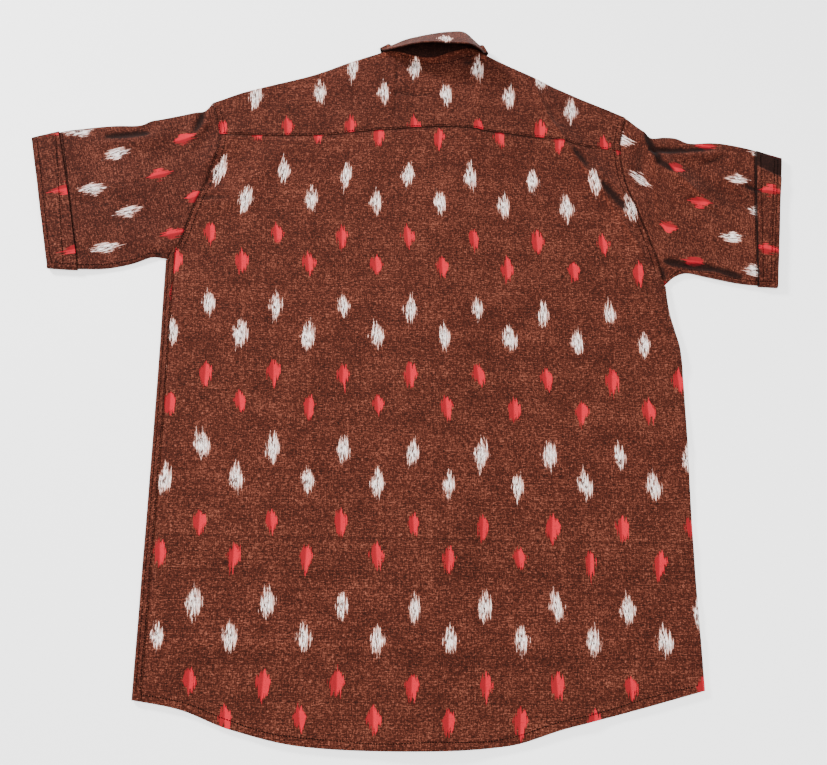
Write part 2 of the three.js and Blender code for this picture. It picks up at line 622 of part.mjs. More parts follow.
// The band lies on the last stations of the sleeve, so it is made from their points, moved out.
function makeCuff(name, sleeveGrid) {
  const points = sleeveGrid.flat();
  const normals = pointNormals(points, keptCells(sleeveGrid, () => true, true));
  const columns = sleeveGrid[0].length;
  const inside = sleeveGrid.at(-1).reduce((sum, point) => sum.add(point), new THREE.Vector3());
  inside.divideScalar(columns);
  const last = points.length - columns;
  const outward = Math.sign(normals[last].dot(points[last].clone().sub(inside)));
  const first = sleeveGrid.length - SLEEVE_GRID.cuff;
  const band = sleeveGrid.slice(first).map((station, j) => station.map((point, i) => {
    const normal = normals[(first + j) * columns + i];
    return point.clone().addScaledVector(normal, outward * STRADDLE);
  }));
  return piece(name, wall(band, CLOTH, () => true, true));
}

function makeSleeve(side, shape, backTable, frontTable, backCurve, frontCurve) {
  const armholes = {
    back: (down) => armholePoint(backCurve, backTable, down),
    front: (down) => armholePoint(frontCurve, frontTable, down),
  };
  const grid = makeSleeveGrid(shape, armholes);
  const tube = piece(`sleeve_${side}`, wall(grid, CLOTH, () => true, true));
  return [tube, makeCuff(`cuff_${side}`, grid)];
}

// ---------------------------------------------------------------- collar
// The rows of the table with each side row spread round the shoulder fold.
function collarSections() {
  return COLLAR.flatMap((row) => {
    const angles = row.turns ? TURN_ANGLES : [row.turn];
    return (row.seam[0] < CENTRE_X ? angles : [...angles].reverse()).map((turn) => ({ ...row, turn }));
  });
}

// A point of a section carried out and up by its turn round the collar's axis.
function turned(row, plan, shape, rise = 0) {
  const turn = THREE.MathUtils.degToRad(row.turn);
  const down = new THREE.Vector2(row.edge[0] - row.top[0], row.edge[1] - row.top[1]).normalize();
  const side = row.seam[0] < CENTRE_X ? LEFT : RIGHT;
  const reach = row.turns ? side * shape.reach * Math.cos(turn) : 0;
  const swell = shape.swell * (1 + Math.sin(turn)) / 2;
  const height = COLLAR_AXIS + shape.height * Math.sin(turn) + swell + rise;
  return new THREE.Vector3(plan[0] - down.y * reach, plan[1] + down.x * reach, height);
}

// Where the collar is cut into sections: once at each step of a turn, more often between.
function collarShares() {
  const rows = collarSections();
  const gaps = rows.length - 1;
  const inside = rows.slice(0, -1).flatMap((row, i) => {
    const turning = row.turns && rows[i + 1].turns;
    return steps(turning ? 1 : COLLAR_GRID.between).slice(0, -1).map((part) => (i + part) / gaps);
  });
  return [...inside, 1];
}

function collarGuides() {
  const rows = collarSections();
  const guide = (make) => new THREE.CatmullRomCurve3(rows.map(make), false, 'centripetal');
  return {
    seam: guide((row) => turned(row, row.seam, STAND_TURN)),
    top: guide((row) => turned(row, row.top, STAND_TURN)),
    root: guide((row) => turned(row, row.top, ROOT_TURN)),
    roll: guide((row) => turned(row, row.top, LEAF_TURN)),
    edge: guide((row) => turned(row, row.edge, LEAF_TURN, row.rise)),
  };
}

// The stand starts on the neckline, in the gap that a seam keeps.
function onNeckline(seam) {
  const under = frontNecklineY(Math.abs(seam.x - CENTRE_X)) + NECK_GAP;
  const over = backNecklineY(seam.x) + NECK_GAP;
  return seam.setY(Math.max(seam.y, seam.z > COLLAR_AXIS ? over : under));
}

function makeStand(guides) {
  const body = collarShares().map((share) => standSection(guides, share, 0));
  const start = standSection(guides, 0, RIGHT * STAND_LAP.length);
  const end = standSection(guides, 1, LEFT * STAND_LAP.length);
  return piece('collar_stand', wall([start, ...body, end], COLLAR_CLOTH));
}

// Near the buttoned ends the upper lap rises clear of the lower one.
function standSection(guides, share, lap) {
  const seam = guides.seam.getPoint(share);
  const top = guides.top.getPoint(share);
  seam.x += lap;
  top.x += lap;
  const rise = STAND_LAP.drop * smoothstep(STAND_LAP.from, STAND_LAP.to, share);
  const start = onNeckline(seam);
  return steps(COLLAR_GRID.stand).map((up) => {
    const point = start.clone().lerp(top, up);
    return point.setZ(point.z + rise);
  });
}

// The leaf rolls over the top of the stand, then falls straight to its free edge.
function leafSection(guides, share) {
  const seam = guides.seam.getPoint(share);
  const root = guides.root.getPoint(share);
  const roll = guides.roll.getPoint(share);
  const edge = guides.edge.getPoint(share);
  const up = root.clone().sub(seam).normalize();
  const down = edge.clone().sub(roll).normalize();
  const start = root.clone().addScaledVector(up, ROLL_GAP);
  const bend = new THREE.CubicBezierCurve3(
    start,
    start.clone().addScaledVector(up, ROLL_BULGE),
    roll.clone().addScaledVector(down, -ROLL_BULGE),
    roll,
  );
  const rolled = steps(COLLAR_GRID.roll).map((t) => bend.getPoint(t));
  const fall = steps(COLLAR_GRID.fall).slice(1).map((t) => roll.clone().lerp(edge, t));
  return [...rolled, ...fall].map((point) => point.setZ(Math.max(point.z, COLLAR_CLOTH / 2)));
}

function makeLeaf(guides) {
  const grid = collarShares().map((share) => leafSection(guides, share));
  return piece('collar_leaf', wall(grid, COLLAR_CLOTH));
}

// ---------------------------------------------------------------- buttons
function makeButton(name, x, y) {
  const { radius, height, rim } = BUTTON;
  const profile = [
    [0, 0], [radius - rim, 0], [radius, rim],
    [radius, height - rim], [radius - rim, height], [0, height],
  ];
  const outline = profile.map(([r, h]) => new THREE.Vector2(r, h));
  const geometry = new THREE.LatheGeometry(outline, BUTTON_SIDES);
  geometry.rotateX(Math.PI / 2);
  geometry.translate(x, y, 0);
  return piece(name, geometry, COLOURS.button, 0.35);
}

function makeButtons() {
  const front = Array.from({ length: BUTTON_ROWS.count }, (_, i) => {
    return makeButton(`button_${i + 1}`, CENTRE_X, BUTTON_ROWS.first - i * BUTTON_ROWS.pitch);
  });
  return [...front, makeButton('button_collar', CENTRE_X, COLLAR_BUTTON_Y)];
}

// ---------------------------------------------------------------- the shirt
function makeShirt() {
  const shirt = new THREE.Group();
  const guides = collarGuides();
  shirt.add(makeBack(), makeYoke(), makeLeftFront(), makeRightFront());
  shirt.add(makeStand(guides), makeLeaf(guides));
  shirt.add(...makeSleeve(
    'left', LEFT_SLEEVE, LEFT_ARMHOLE, LEFT_ARMHOLE_FRONT, leftArmholeX, leftArmholeFrontX,
  ));
  shirt.add(...makeSleeve(
    'right', RIGHT_SLEEVE, RIGHT_ARMHOLE, RIGHT_ARMHOLE_FRONT, rightArmholeX, rightArmholeFrontX,
  ));
  shirt.add(...makeButtons());
  shirt.position.set(PLACE.x, PLACE.y, 0);
  return shirt;
}

export default makeShirt();
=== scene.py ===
import math

import bpy
import numpy as np
from mathutils import Matrix, Vector
from mathutils.bvhtree import BVHTree


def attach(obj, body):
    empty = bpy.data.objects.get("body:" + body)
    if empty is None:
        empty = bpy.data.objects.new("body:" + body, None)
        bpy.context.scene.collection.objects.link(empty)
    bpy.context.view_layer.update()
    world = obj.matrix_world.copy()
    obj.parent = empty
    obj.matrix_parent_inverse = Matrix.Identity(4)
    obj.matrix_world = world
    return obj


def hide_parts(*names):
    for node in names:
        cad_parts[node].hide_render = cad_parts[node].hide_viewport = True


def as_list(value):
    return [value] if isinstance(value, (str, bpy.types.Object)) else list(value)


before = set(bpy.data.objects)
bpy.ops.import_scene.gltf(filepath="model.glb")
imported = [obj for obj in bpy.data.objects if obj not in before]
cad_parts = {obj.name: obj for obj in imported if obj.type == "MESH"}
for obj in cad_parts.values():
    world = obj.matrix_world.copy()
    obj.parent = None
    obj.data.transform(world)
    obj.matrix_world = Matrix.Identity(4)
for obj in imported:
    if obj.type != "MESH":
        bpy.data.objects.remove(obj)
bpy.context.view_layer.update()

MM = 0.001

# ---------------------------------------------------------------- sizes, in millimetres
CLOTH = 0.8
COLLAR_CLOTH = 1.4
UNDER = 0.45
OVER = 3.6
FOLD_RADIUS = (OVER - UNDER) / 2
FOLD_REACH = 2.1
SEAM_GAP = 0.3
STRADDLE = 1.5
TUCK = 6.0
TUCK_DROP = 1.0
# How high the yoke's and the strip's seams stand on the back, which is folded under them.
YOKE_LIFT, STRIP_LIFT = 0.35, 0.3
SEAM_FOLD = 0.8

CENTRE_X = 22
LAP_HALF = 17
SIDE_SEAM_INSET = 9
YOKE_FORWARD = 45
CUFF_RAMP = (2, 30)
HEM_DEPTH = 8.5
LEFT, RIGHT = -1, 1

BUTTON_FIRST, BUTTON_PITCH, BUTTON_COUNT = 205, 92, 6
COLLAR_BUTTON_Y = 289
RAISED = 2.7
PLACKET_RAMP = (LAP_HALF + 3, LAP_HALF + 48)
COLLAR_ZONE = {"y": 312, "half_width": 92, "half_length": 90, "flat": 1.04, "end": 1.5}
LAP_RAMP = (LAP_HALF + 2, LAP_HALF + 55)
LAP_CLEARANCE = 1.1
LAP_FADE = 30
PLACE = (0.55, 3.22)

# ---------------------------------------------------------------- outlines
HEM = [(-266, -352), (-216, -361), (-169, -378), (-100, -393), (3, -396.5), (100, -391),
       (155, -375), (214, -360), (298, -337)]
BACK_YOKE_SEAM = [(-217, 251), (-111, 254), (-27, 263), (41, 269), (93, 264), (150, 259),
                  (190, 251), (235, 248)]
LEFT_SHOULDER = [(-226, 291), (-190, 306), (-118, 329.5), (-46, 358)]
RIGHT_SHOULDER = [(91, 358), (118, 344.5), (145, 332), (242, 291)]
LEFT_SIDE = [(-352, -263), (-45, -263.5), (100, -265)]
RIGHT_SIDE = [(-339, 296), (-200, 293), (-53, 293), (13, 291), (35, 286), (58, 281), (85, 279)]
LEFT_ARMHOLE = [(289, -226), (259, -218), (238, -216), (205, -224), (155, -241), (115, -252.9),
                (100, -263)]
RIGHT_ARMHOLE = [(289, 242), (251, 235), (205, 240), (143, 262), (110, 272), (85, 277)]
LEFT_ARMHOLE_FRONT = [(289, -226), (245, -211), (200, -214), (150, -232), (115, -249), (100, -263)]
RIGHT_ARMHOLE_FRONT = [(289, 242), (245, 229), (200, 232), (150, 247), (115, 261), (97, 265.9),
                       (85, 277)]
LEFT_UNDERARM = {"y": 100, "seam_y": 115}
RIGHT_UNDERARM = {"y": 85, "seam_y": 97}
FRONT_NECKLINE = [(0, 276), (16, 277.5), (32, 288), (45, 304), (51.5, 319), (58, 340), (60, 358)]
BACK_NECKLINE = [(-38, 359.5), (-30, 362), (-13, 360), (10, 355), (26, 356.5), (41, 363),
                 (60, 368.5), (70, 367.5), (82, 360.5)]

LEFT_SLEEVE = {
    "side": LEFT, "cuff": (28, 31),
    "over": [(-226, 291), (-234, 280), (-250, 276), (-283, 267.5), (-292, 265.5), (-304, 259.5),
             (-333, 257.5), (-380, 250), (-421, 238)],
    "under": [(-263.4, 100.4), (-279, 102), (-300, 94), (-325, 88), (-355, 86), (-389, 87)],
}
RIGHT_SLEEVE = {
    "side": RIGHT, "cuff": (27, 20),
    "over": [(242, 291), (262, 272), (271, 264), (285, 266.5), (300, 266), (314, 260), (342, 261.5),
             (366, 259), (420, 244)],
    "under": [(277.4, 85.4), (289, 96), (302, 101), (326, 97), (366, 90), (403, 88)],
}

# ---------------------------------------------------------------- folds of the upper layer
# Columns: x0, y0, x1, y1, height, half width. The large ones lie where the solids have them.
FOLDS = [
    (139, 331, 160, 268, 3.5, 17), (160, 268, 199, 220, 6.0, 16), (199, 220, 237, 179, 6.5, 15),
    (237, 179, 254, 67, 4.0, 16), (262, 91, 281, 1, 4.0, 14), (-233, 172, -184, 177, 2.6, 13),
    (-230, 212, -199, 250, 2.2, 13), (-180, 201, -138, 240, 1.8, 16), (-184, 78, -97, 35, 1.6, 20),
    (-240, 40, -181, 27, 1.5, 18), (140, 82, 178, 66, 1.6, 18), (70, 340, 69, 241, 1.6, 14),
    (-235, -300, 270, -290, 1.2, 14), (150, -345, 175, -362, 1.8, 12),
    (-339, 236, -285, 243, 3.2, 12), (-246, 243, -237, 272, 2.6, 10),
    (-320, 184, -285, 193, 2.0, 14), (-309, 132, -266, 118, 2.2, 14),
    (262, 262, 313, 200, 5.5, 13), (275, 243, 345, 247, 3.6, 10), (350, 218, 376, 209, 2.4, 11),
    (283, 116, 360, 101, 3.0, 11),
]
# Narrow creases, ridges above zero and troughs below, uneven in length, depth and spacing.
# Columns: x0, y0, x1, y1, height, half width.
CREASES = [
    (-119, 322, -108, 57, 0.45, 2.8), (-108, 57, -100, -157, 0.4, 2.8),
    (-100, -157, -91, -373, 0.55, 2.9), (-27, -130, -34, -255, 0.6, 2.8),
    (-34, -255, -29, -373, 0.65, 2.8), (118, -228, 128, -371, 0.55, 2.9),
    (112, 268, 107, 110, 0.6, 2.8), (-22, 364, -27, 264, 0.6, 2.6), (-19, 350, -23, 268, -1.1, 2.4),
    (116, 357, 115, 292, 0.6, 3.0), (73, 327, 72, 286, 1.1, 3.0), (72, 282, 74, 241, 0.8, 3.0),
    (-258, -301, 14, -299, 0.6, 3.0), (14, -299, 293, -289, 0.6, 3.0), (-21, 310, 2, 307.5, -1.4, 2.6),
    (2, 307.5, 22, 310, -1.2, 2.6), (118, 335, 119, 275, -0.9, 5.0), (56, 351, 66, 351, -1.9, 4.2),
    (139, 316, 152, 284, 1.5, 3.2), (152, 284, 176, 243, 2.4, 3.0), (176, 243, 208, 196, 2.7, 3.0),
    (208, 196, 233, 156, 2.7, 3.0), (233, 156, 253, 121, 2.2, 3.0), (253, 121, 262, 88, 1.0, 3.0),
    (150, 306, 161, 279, -1.2, 4.4), (181, 246, 197, 224, -2.2, 4.8), (213, 204, 236, 176, -3.8, 4.2),
    (-233, 172, -203, 175, -1.6, 3.4), (-229, 214, -202, 247, 0.8, 3.2),
    (-222, 190, -186, 205, -0.6, 5), (-340, 243, -296, 249, -3.2, 4.4),
    (-236, 276, -243, 254, -3.0, 4.2), (-232, 262, -246, 246, 1.4, 3.4),
    (265, 264, 279, 234, -4.2, 4.4), (279, 234, 292, 223, -3.2, 4.0), (269, 248, 311, 250, -3.8, 4.0),
    (258, 256, 254, 205, -1.3, 7.5), (311, 250, 340, 253, -2.6, 4.0), (331, 234, 356, 245, -1.6, 3.6),
    (358, 222, 365, 246, 1.4, 4.5), (375, 208, 392, 202, -2.4, 3.6), (376, 205, 385, 172, -1.0, 4.5),
    (280, 114, 305, 110, -3.4, 4.4), (305, 110, 333, 107, -3.8, 4.6), (333, 107, 362, 98, -3.0, 4.4),
    (262, 264, 273, 240, 2.4, 4.4), (273, 240, 295, 216, 2.8, 4.6), (295, 216, 334, 181, 2.0, 5.0),
    (268, 247, 273, 209, 1.2, 4.5), (273, 209, 272, 153, 1.2, 4.5), (157, -350, 171, -358, -0.9, 3.0),
    (-277, 108, -266, 102, -1.9, 3.8), (-309, 118, -266, 114, 0.8, 4.0),
    (-319, 186, -288, 191, -0.7, 3.0), (-350, 205, -322, 199, 0.6, 4.0), (274, 109, 279, 93, -2.0, 3.8),
    (310, 230, 367, 176, -1.2, 10.0), (314, 184, 358, 164, -1.1, 6.0), (264, 204, 271, 168, -1.0, 4.5),
    (342, 241, 370, 220, -0.9, 8.0), (289, 190, 317, 180, 0.6, 3.5), (350, 214, 375, 196, 0.9, 4.0),
    (-325, 141, -275, 152, -0.95, 9.0), (-380, 159, -338, 166, -0.8, 8.0),
    (-282, 275, -243, 286, -0.8, 5.0), (30, 150, 58, 120, 0.35, 5.0), (-70, 190, -52, 150, -0.35, 6.0),
    (-12, -20, 25, -38, 0.3, 6.0), (180, -60, 214, -92, 0.35, 6.0), (-200, -120, -170, -96, 0.35, 6),
    (60, -180, 92, -168, 0.35, 6.0), (-160, -230, -120, -246, 0.35, 6.0),
]
# The cloth is painted this much darker at the bottom of the deepest trough, painted shade where light
# hardly reaches, and this much paler on the sharpest ridge, a painted highlight.
TROUGH_SHADE = {"from": 0.5, "full": 2.2, "most": 0.9}
RIDGE_HIGHLIGHT = {"full": 2.4, "most": 0.55, "sharp": 4}
NECK_SWELL = {"x": 22, "y": 362, "radius": 80, "height": 1.5}

# ---------------------------------------------------------------- collar
# Columns: seam, top, free edge, turn in degrees (None where it goes round the shoulder), rise.
COLLAR = [
    ((22, 276.8), (18, 304), (-12, 236), -90, 0), ((-3, 288.5), (7, 314), (-41, 264), -90, 0),
    ((-27, 315), (-8, 335), (-56, 304), -90, 0), ((-34.5, 360), (-29, 366), (-37, 361), None, 0),
    ((-14, 362), (-11, 374.5), (-24, 355), 90, 14), ((10, 356.5), (14, 382), (8, 355), 90, 27),
    ((38, 363.5), (40, 387), (40, 355), 90, 28), ((58, 370.5), (57, 387), (62, 355.5), 90, 26),
    ((70, 369.5), (68.5, 377), (74, 355), 90, 17), ((79, 360.5), (76, 370), (80.5, 362), None, 0),
    ((71, 315), (52, 335), (100, 304), -90, 0), ((47, 288.5), (37, 314), (85, 264), -90, 0),
    ((22, 276.8), (26, 304), (56, 236), -90, 0),
]
TURN_ANGLES = [-90, -45, 0, 45, 90]
COLLAR_STEPS = {"turn": 4, "lying": 9, "stand": 8, "tuck": 3, "bend": 12, "fall": 12}
COLLAR_AXIS = 4.8
STAND_TURN = {"reach": 1.3, "height": 1.3, "swell": 1.5}
ROOT_TURN = {"reach": 1.6, "height": 1.3, "swell": 1.9}
LEAF_TURN = {"reach": 5.0, "height": 4.0, "swell": 2.6}
NECK_GAP = 0.8
ROLL_GAP = 1.1
ROLL_BULGE = 2.1
STAND_LAP = {"length": 15, "drop": 1.9, "from": 0.86, "to": 0.97}
STAND_TUCK = {"length": 5.0, "drop": 1.3}
LEAF_MOTIF = (35, 365)
# The leaf is cut on a curve, so the cloth runs off this much towards its points.
LEAF_CURVE = {"most": 45.0, "ramp": (20, 71.7)}
STAND_CLOTH = (10, 12)
INSIDE_SHADE = 0.8
NECK_STITCH = [(-23, 363), (-16, 358), (-6, 352), (3, 349.5), (12, 348), (19, 347.5), (31, 348), (40, 350),
               (50, 354), (59, 358), (69, 359)]
# The folded edge behind the neck stands up a little and is painted paler: painted light where the collar
# leaf's shadow falls.
NECK_BAND = {"depth": 8.0, "edge": 1.5, "height": 0.5, "painted_light": 0.8}
# How far the lines of stitching on each cuff lie from its open end, at its upper and lower folds.
CUFF_LINES = {"left": [(5, 5), (24.5, 17.5), (31, 32)], "right": [(4.5, 4.5), (8, 8), (23, 16), (30, 23)]}
# The lines of stitching down the fronts, from their middle.
PLACKET_LINES = [-LAP_HALF + 1.5, -LAP_HALF + 27, LAP_HALF - 1.5]
LABEL_STITCH = [(-21, 310), (-7, 307), (4, 306), (15, 309), (22, 312)]

# ---------------------------------------------------------------- cloth pattern, in millimetres
PITCH = 71.7
REPEAT = 156.0
# Columns: how far down the row lies, its shift across, colour.
MOTIF_ROWS = [(0.0, 0.0, "white"), (33.25, 0.5, "white"), (73.5, 0.0, "red"), (106.7, 0.5, "red")]
# Half width, length up, length down and how much both vary from motif to motif.
MOTIF_SIZES = {"white": (7.3, 15.0, 13.5, 0.3), "red": (6.8, 9.8, 14.2, 0.3)}
BACK_ORIGIN = (-4.6, 210.5)
# How far the columns of motifs have drifted to the right, at heights from the hem up.
BACK_DRIFT = [(-350, 11), (-280, 12.3), (-230, 11.2), (-160, 9.6), (-90, 8.9), (-30, 6.5), (50, 4.2),
              (150, 0)]
YOKE_ORIGIN = (1.3, 344.5)
# How the cloth of the fronts lies: a plain place between two columns of motifs comes to the strip
# of the left one that shows at the side.
FRONT_CLOTH = {"left_x": 34.7, "left_y": 160, "right_x": 40, "right_y": 145}
# Where a motif lies on each sleeve and its cuff and which way the cloth runs there. Drape pairs
# distances along the sleeve as it lies with those in the cloth, which folds have taken up, and
# drift pairs them with how far the folds have shifted the cloth across.
LEFT_SLEEVE_CLOTH = {
    "origin": (-349.5, 183), "up": (-0.966, -0.26), "drift": [(0, 0)],
    "drape": [(-200, -190), (-110, -110), (0, 0), (200, 200)], "cuff": (-376, 182), "cuff_edge_shade": 0.5,
    "cuff_drape": [(-200, -188), (-40, -28), (0, 0), (200, 200)],
}
RIGHT_SLEEVE_CLOTH = {
    "origin": (389, 180), "up": (0.9887, -0.15), "drift": [(-163, 27), (-134, 16.3), (-100, 0)],
    "drape": [(-200, -233), (-163, -189.25), (-134, -156), (-98.5, -106.7), (-66, -73.5), (-27, -33.25),
              (0, 0), (200, 200)],
    "cuff": (404, 206), "cuff_edge_shade": 0.95, "cuff_drape": [(-200, -200), (200, 200)],
}

# How often points between curved edges are worked out again, and how finely guides are measured.
SETTLING_ROUNDS, GUIDE_SAMPLES = 8, 400
# Stands for a distance to a seam that isn't there.
FAR = 99.0


# ---------------------------------------------------------------- small tools
def mix(a, b, share):
    return a + (b - a) * share


def smoothstep(low, high, at):
    share = np.clip((np.asarray(at, float) - low) / (high - low), 0, 1)
    return share * share * (3 - 2 * share)


def steps(count):
    return np.arange(count + 1) / count


def table_curve(rows):
    """A smooth curve through a table of (at, value), straight past its ends."""
    knots = np.array(sorted(rows), float)
    at, value = knots.T
    slopes = np.empty(len(at))
    slopes[1:-1] = (value[2:] - value[:-2]) / (at[2:] - at[:-2])
    slopes[0] = (value[1] - value[0]) / (at[1] - at[0])
    slopes[-1] = (value[-1] - value[-2]) / (at[-1] - at[-2])

    def curve(x):
        x = np.asarray(x, float)
        i = np.clip(np.searchsorted(at, x, side="right") - 1, 0, len(at) - 2)
        span = at[i + 1] - at[i]
        t = (x - at[i]) / span
        blend = 3 * t ** 2 - 2 * t ** 3
        bend = (t ** 3 - 2 * t ** 2 + t) * slopes[i] + (t ** 3 - t ** 2) * slopes[i + 1]
        inside = mix(value[i], value[i + 1], blend) + span * bend
        low = value[0] + slopes[0] * (x - at[0])
        high = value[-1] + slopes[-1] * (x - at[-1])
        return np.where(x <= at[0], low, np.where(x >= at[-1], high, inside))

    return curve


def guide(points):
    """A centripetal Catmull-Rom curve through points, as a function of the share of its knots."""
    p = np.array([v if len(v) == 3 else (*v, 0) for v in points], float)

    def at(share):
        span = share * (len(p) - 1)
        i = min(int(span), len(p) - 2)
        t = span - i
        p1, p2 = p[i], p[i + 1]
        p0 = p[i - 1] if i > 0 else 2 * p1 - p2
        p3 = p[i + 2] if i + 2 < len(p) else 2 * p2 - p1
        d0, d1, d2 = [max(np.linalg.norm(b - a), 1e-4) ** 0.5 for a, b in ((p0, p1), (p1, p2), (p2, p3))]
        m1 = ((p1 - p0) / d0 - (p2 - p0) / (d0 + d1) + (p2 - p1) / d1) * d1
        m2 = ((p2 - p1) / d1 - (p3 - p1) / (d1 + d2) + (p3 - p2) / d2) * d1
        return ((2 * t ** 3 - 3 * t ** 2 + 1) * p1 + (t ** 3 - 2 * t ** 2 + t) * m1
                + (3 * t ** 2 - 2 * t ** 3) * p2 + (t ** 3 - t ** 2) * m2)

    return at


def run_lengths(points, axis=0):
    """How far along lines of points each of their gaps has come."""
    return np.cumsum(np.linalg.norm(np.diff(points, axis=axis), axis=-1), axis=axis)


def from_zero(lengths):
    return np.concatenate([[0], lengths])


def even_guide(points):
    """The same curve as a function of the share of its length."""
    curve = guide(points)
    samples = np.array([curve(s) for s in steps(GUIDE_SAMPLES)])
    lengths = from_zero(run_lengths(samples))
    shares = lengths / lengths[-1]
    return lambda share: np.array([np.interp(share, shares, samples[:, k]) for k in range(3)])


def away_from(x, y, x0, y0, x1, y1):
    dx, dy = x1 - x0, y1 - y0
    share = np.clip(((x - x0) * dx + (y - y0) * dy) / (dx * dx + dy * dy), 0, 1)
    return np.hypot(x - x0 - dx * share, y - y0 - dy * share), share


hem_y = table_curve(HEM)
back_yoke_y = table_curve(BACK_YOKE_SEAM)
left_shoulder_y = table_curve(LEFT_SHOULDER)
right_shoulder_y = table_curve(RIGHT_SHOULDER)
left_side_x = table_curve(LEFT_SIDE)
right_side_x = table_curve(RIGHT_SIDE)
left_armhole_x = table_curve(LEFT_ARMHOLE)
right_armhole_x = table_curve(RIGHT_ARMHOLE)
left_armhole_front_x = table_curve(LEFT_ARMHOLE_FRONT)
right_armhole_front_x = table_curve(RIGHT_ARMHOLE_FRONT)
neckline_half = table_curve([(y, half) for half, y in FRONT_NECKLINE])
front_neckline_y = table_curve(FRONT_NECKLINE)
back_neckline_y = table_curve(BACK_NECKLINE)
NECK_LEFT, NECK_RIGHT = BACK_NECKLINE[0][0], BACK_NECKLINE[-1][0]
ARM_LEFT, ARM_RIGHT, ARM_TOP = LEFT_ARMHOLE[0][1], RIGHT_ARMHOLE[0][1], LEFT_ARMHOLE[0][0]


# ---------------------------------------------------------------- heights of the layers
def raise_at(x, y):
    strip = 1 - smoothstep(*PLACKET_RAMP, np.abs(x - CENTRE_X))
    across = (x - CENTRE_X) / COLLAR_ZONE["half_width"]
    reach = np.hypot(across, (y - COLLAR_ZONE["y"]) / COLLAR_ZONE["half_length"])
    collar = 1 - smoothstep(COLLAR_ZONE["flat"], COLLAR_ZONE["end"], reach)
    return RAISED * np.maximum(strip, collar)


def lap_raise(x):
    return STRADDLE * (1 - smoothstep(*LAP_RAMP, x - CENTRE_X))


def ripple(x, y):
    """The slight unevenness of cloth that has been washed and pressed by hand."""
    rng = np.random.default_rng(11)
    total = np.zeros(np.broadcast(x, y).shape)
    for wavelength, height in ((150, 0.30), (95, 0.24), (60, 0.17), (38, 0.11), (24, 0.07), (15, 0.045)):
        for _ in range(4):
            angle, phase = rng.uniform(0, math.tau, 2)
            length = wavelength * rng.uniform(0.8, 1.25)
            k = math.tau / length
            total = total + height * np.sin(k * (x * math.cos(angle) + y * math.sin(angle)) + phase)
    return 0.6 * total


def crease_profiles(x, y):
    """The height of each crease's crest beside the points and how near to it they are."""
    for x0, y0, x1, y1, height, half_width in CREASES:
        away, share = away_from(x, y, x0, y0, x1, y1)
        ends = 0.45 + 0.55 * np.sin(np.pi * np.clip(share, 0.02, 0.98)) ** 0.4
        yield height * ends, np.exp(-((away / half_width) ** 2))


def creases(x, y):
    return ripple(x, y) + sum(crest * near for crest, near in crease_profiles(x, y))


def crease_shade(x, y):
    """Painted shade above zero where a trough is dark, painted highlight below it where a ridge is painted
    pale.
    """
    deepest = np.zeros(np.broadcast(x, y).shape)
    painted_light = np.zeros(deepest.shape)
    for crest, near in crease_profiles(x, y):
        deepest = np.maximum(deepest, -crest * near)
        painted_light = np.maximum(painted_light, np.minimum(crest / RIDGE_HIGHLIGHT["full"], 1) * near ** RIDGE_HIGHLIGHT["sharp"])
    dark = TROUGH_SHADE["most"] * smoothstep(TROUGH_SHADE["from"], TROUGH_SHADE["full"], deepest)
    pale = RIDGE_HIGHLIGHT["most"] * painted_light
    return np.where(dark > 0.05, dark, -pale)


def darker(shade, other):
    """The darker of two painted shades, leaving painted ridge highlights where the other is none."""
    return np.where(other > 0.02, np.maximum(shade, other), shade)


def near_seam(away, width=2.6, most=0.75):
    """Painted shade in the fold of a seam: how dark the cloth is painted, away from it in millimetres."""
    return most * (1 - smoothstep(0.2, width, np.abs(away)))


def relief(x, y):
    x, y = np.asarray(x, float), np.asarray(y, float)
    lap = LAP_CLEARANCE * (1 - smoothstep(LAP_RAMP[0], LAP_RAMP[1] + LAP_FADE, np.abs(x - CENTRE_X)))
    to_neck = np.hypot(x - NECK_SWELL["x"], y - NECK_SWELL["y"])
    neck = NECK_SWELL["height"] * (1 - smoothstep(0, NECK_SWELL["radius"], to_neck))
    power = 6
    folds = 0
    for x0, y0, x1, y1, height, half_width in FOLDS:
        away, _ = away_from(x, y, x0, y0, x1, y1)
        folds = folds + (height * np.exp(-((away / half_width) ** 2))) ** power
    return np.maximum(lap, neck) + folds ** (1 / power) + creases(x, y)


def stack(x, y, z):
    x, y, z = np.broadcast_arrays(x, y, z)
    return np.stack([x, y, z], axis=-1)


def under_point(x, y, extra=0):
    return stack(x, y, UNDER + raise_at(x, y) + extra)


def over_point(x, y, extra=0):
    return stack(x, y, OVER + raise_at(x, y) + relief(x, y) + extra)


def fold_point(x, y, away, turn, extra=0):
    angle = turn * math.pi
    lifted = FOLD_RADIUS * (1 + np.cos(angle)) + relief(x, y) * (1 + np.cos(angle)) / 2
    reach = FOLD_RADIUS * np.sin(angle)
    return stack(x + away[0] * reach, y + away[1] * reach, UNDER + raise_at(x, y) + lifted + extra)


# ---------------------------------------------------------------- cloth walls
def add_object(name, data):
    made = bpy.data.objects.new(name, data)
    bpy.context.collection.objects.link(made)
    return made


def point_normals(points, cells):
    flat = points.reshape(-1, 3)
    a, b, c, d = (flat[cells[:, k]] for k in range(4))
    cross = np.cross(c - a, d - b)
    normals = np.zeros_like(flat)
    for k in range(4):
        np.add.at(normals, cells[:, k], cross)
    return normals / np.maximum(np.linalg.norm(normals, axis=1, keepdims=True), 1e-9)


def grid_cells(rows, columns, keep, ring):
    j, i = np.mgrid[0:rows - 1, 0:columns if ring else columns - 1]
    kept = np.ones(j.shape, bool) if keep is None else keep(j, i)
    j, i = j[kept], i[kept]
    row, following, nxt = j * columns, (j + 1) * columns, (i + 1) % columns
    cells = np.stack([row + i, row + nxt, following + nxt, following + i], 1)
    return cells, j, i


def rim_edges(cells, count):
    starts = cells.ravel()
    ends = np.roll(cells, -1, axis=1).ravel()
    lone = ~np.isin(starts * count + ends, ends * count + starts)
    return starts[lone], ends[lone]


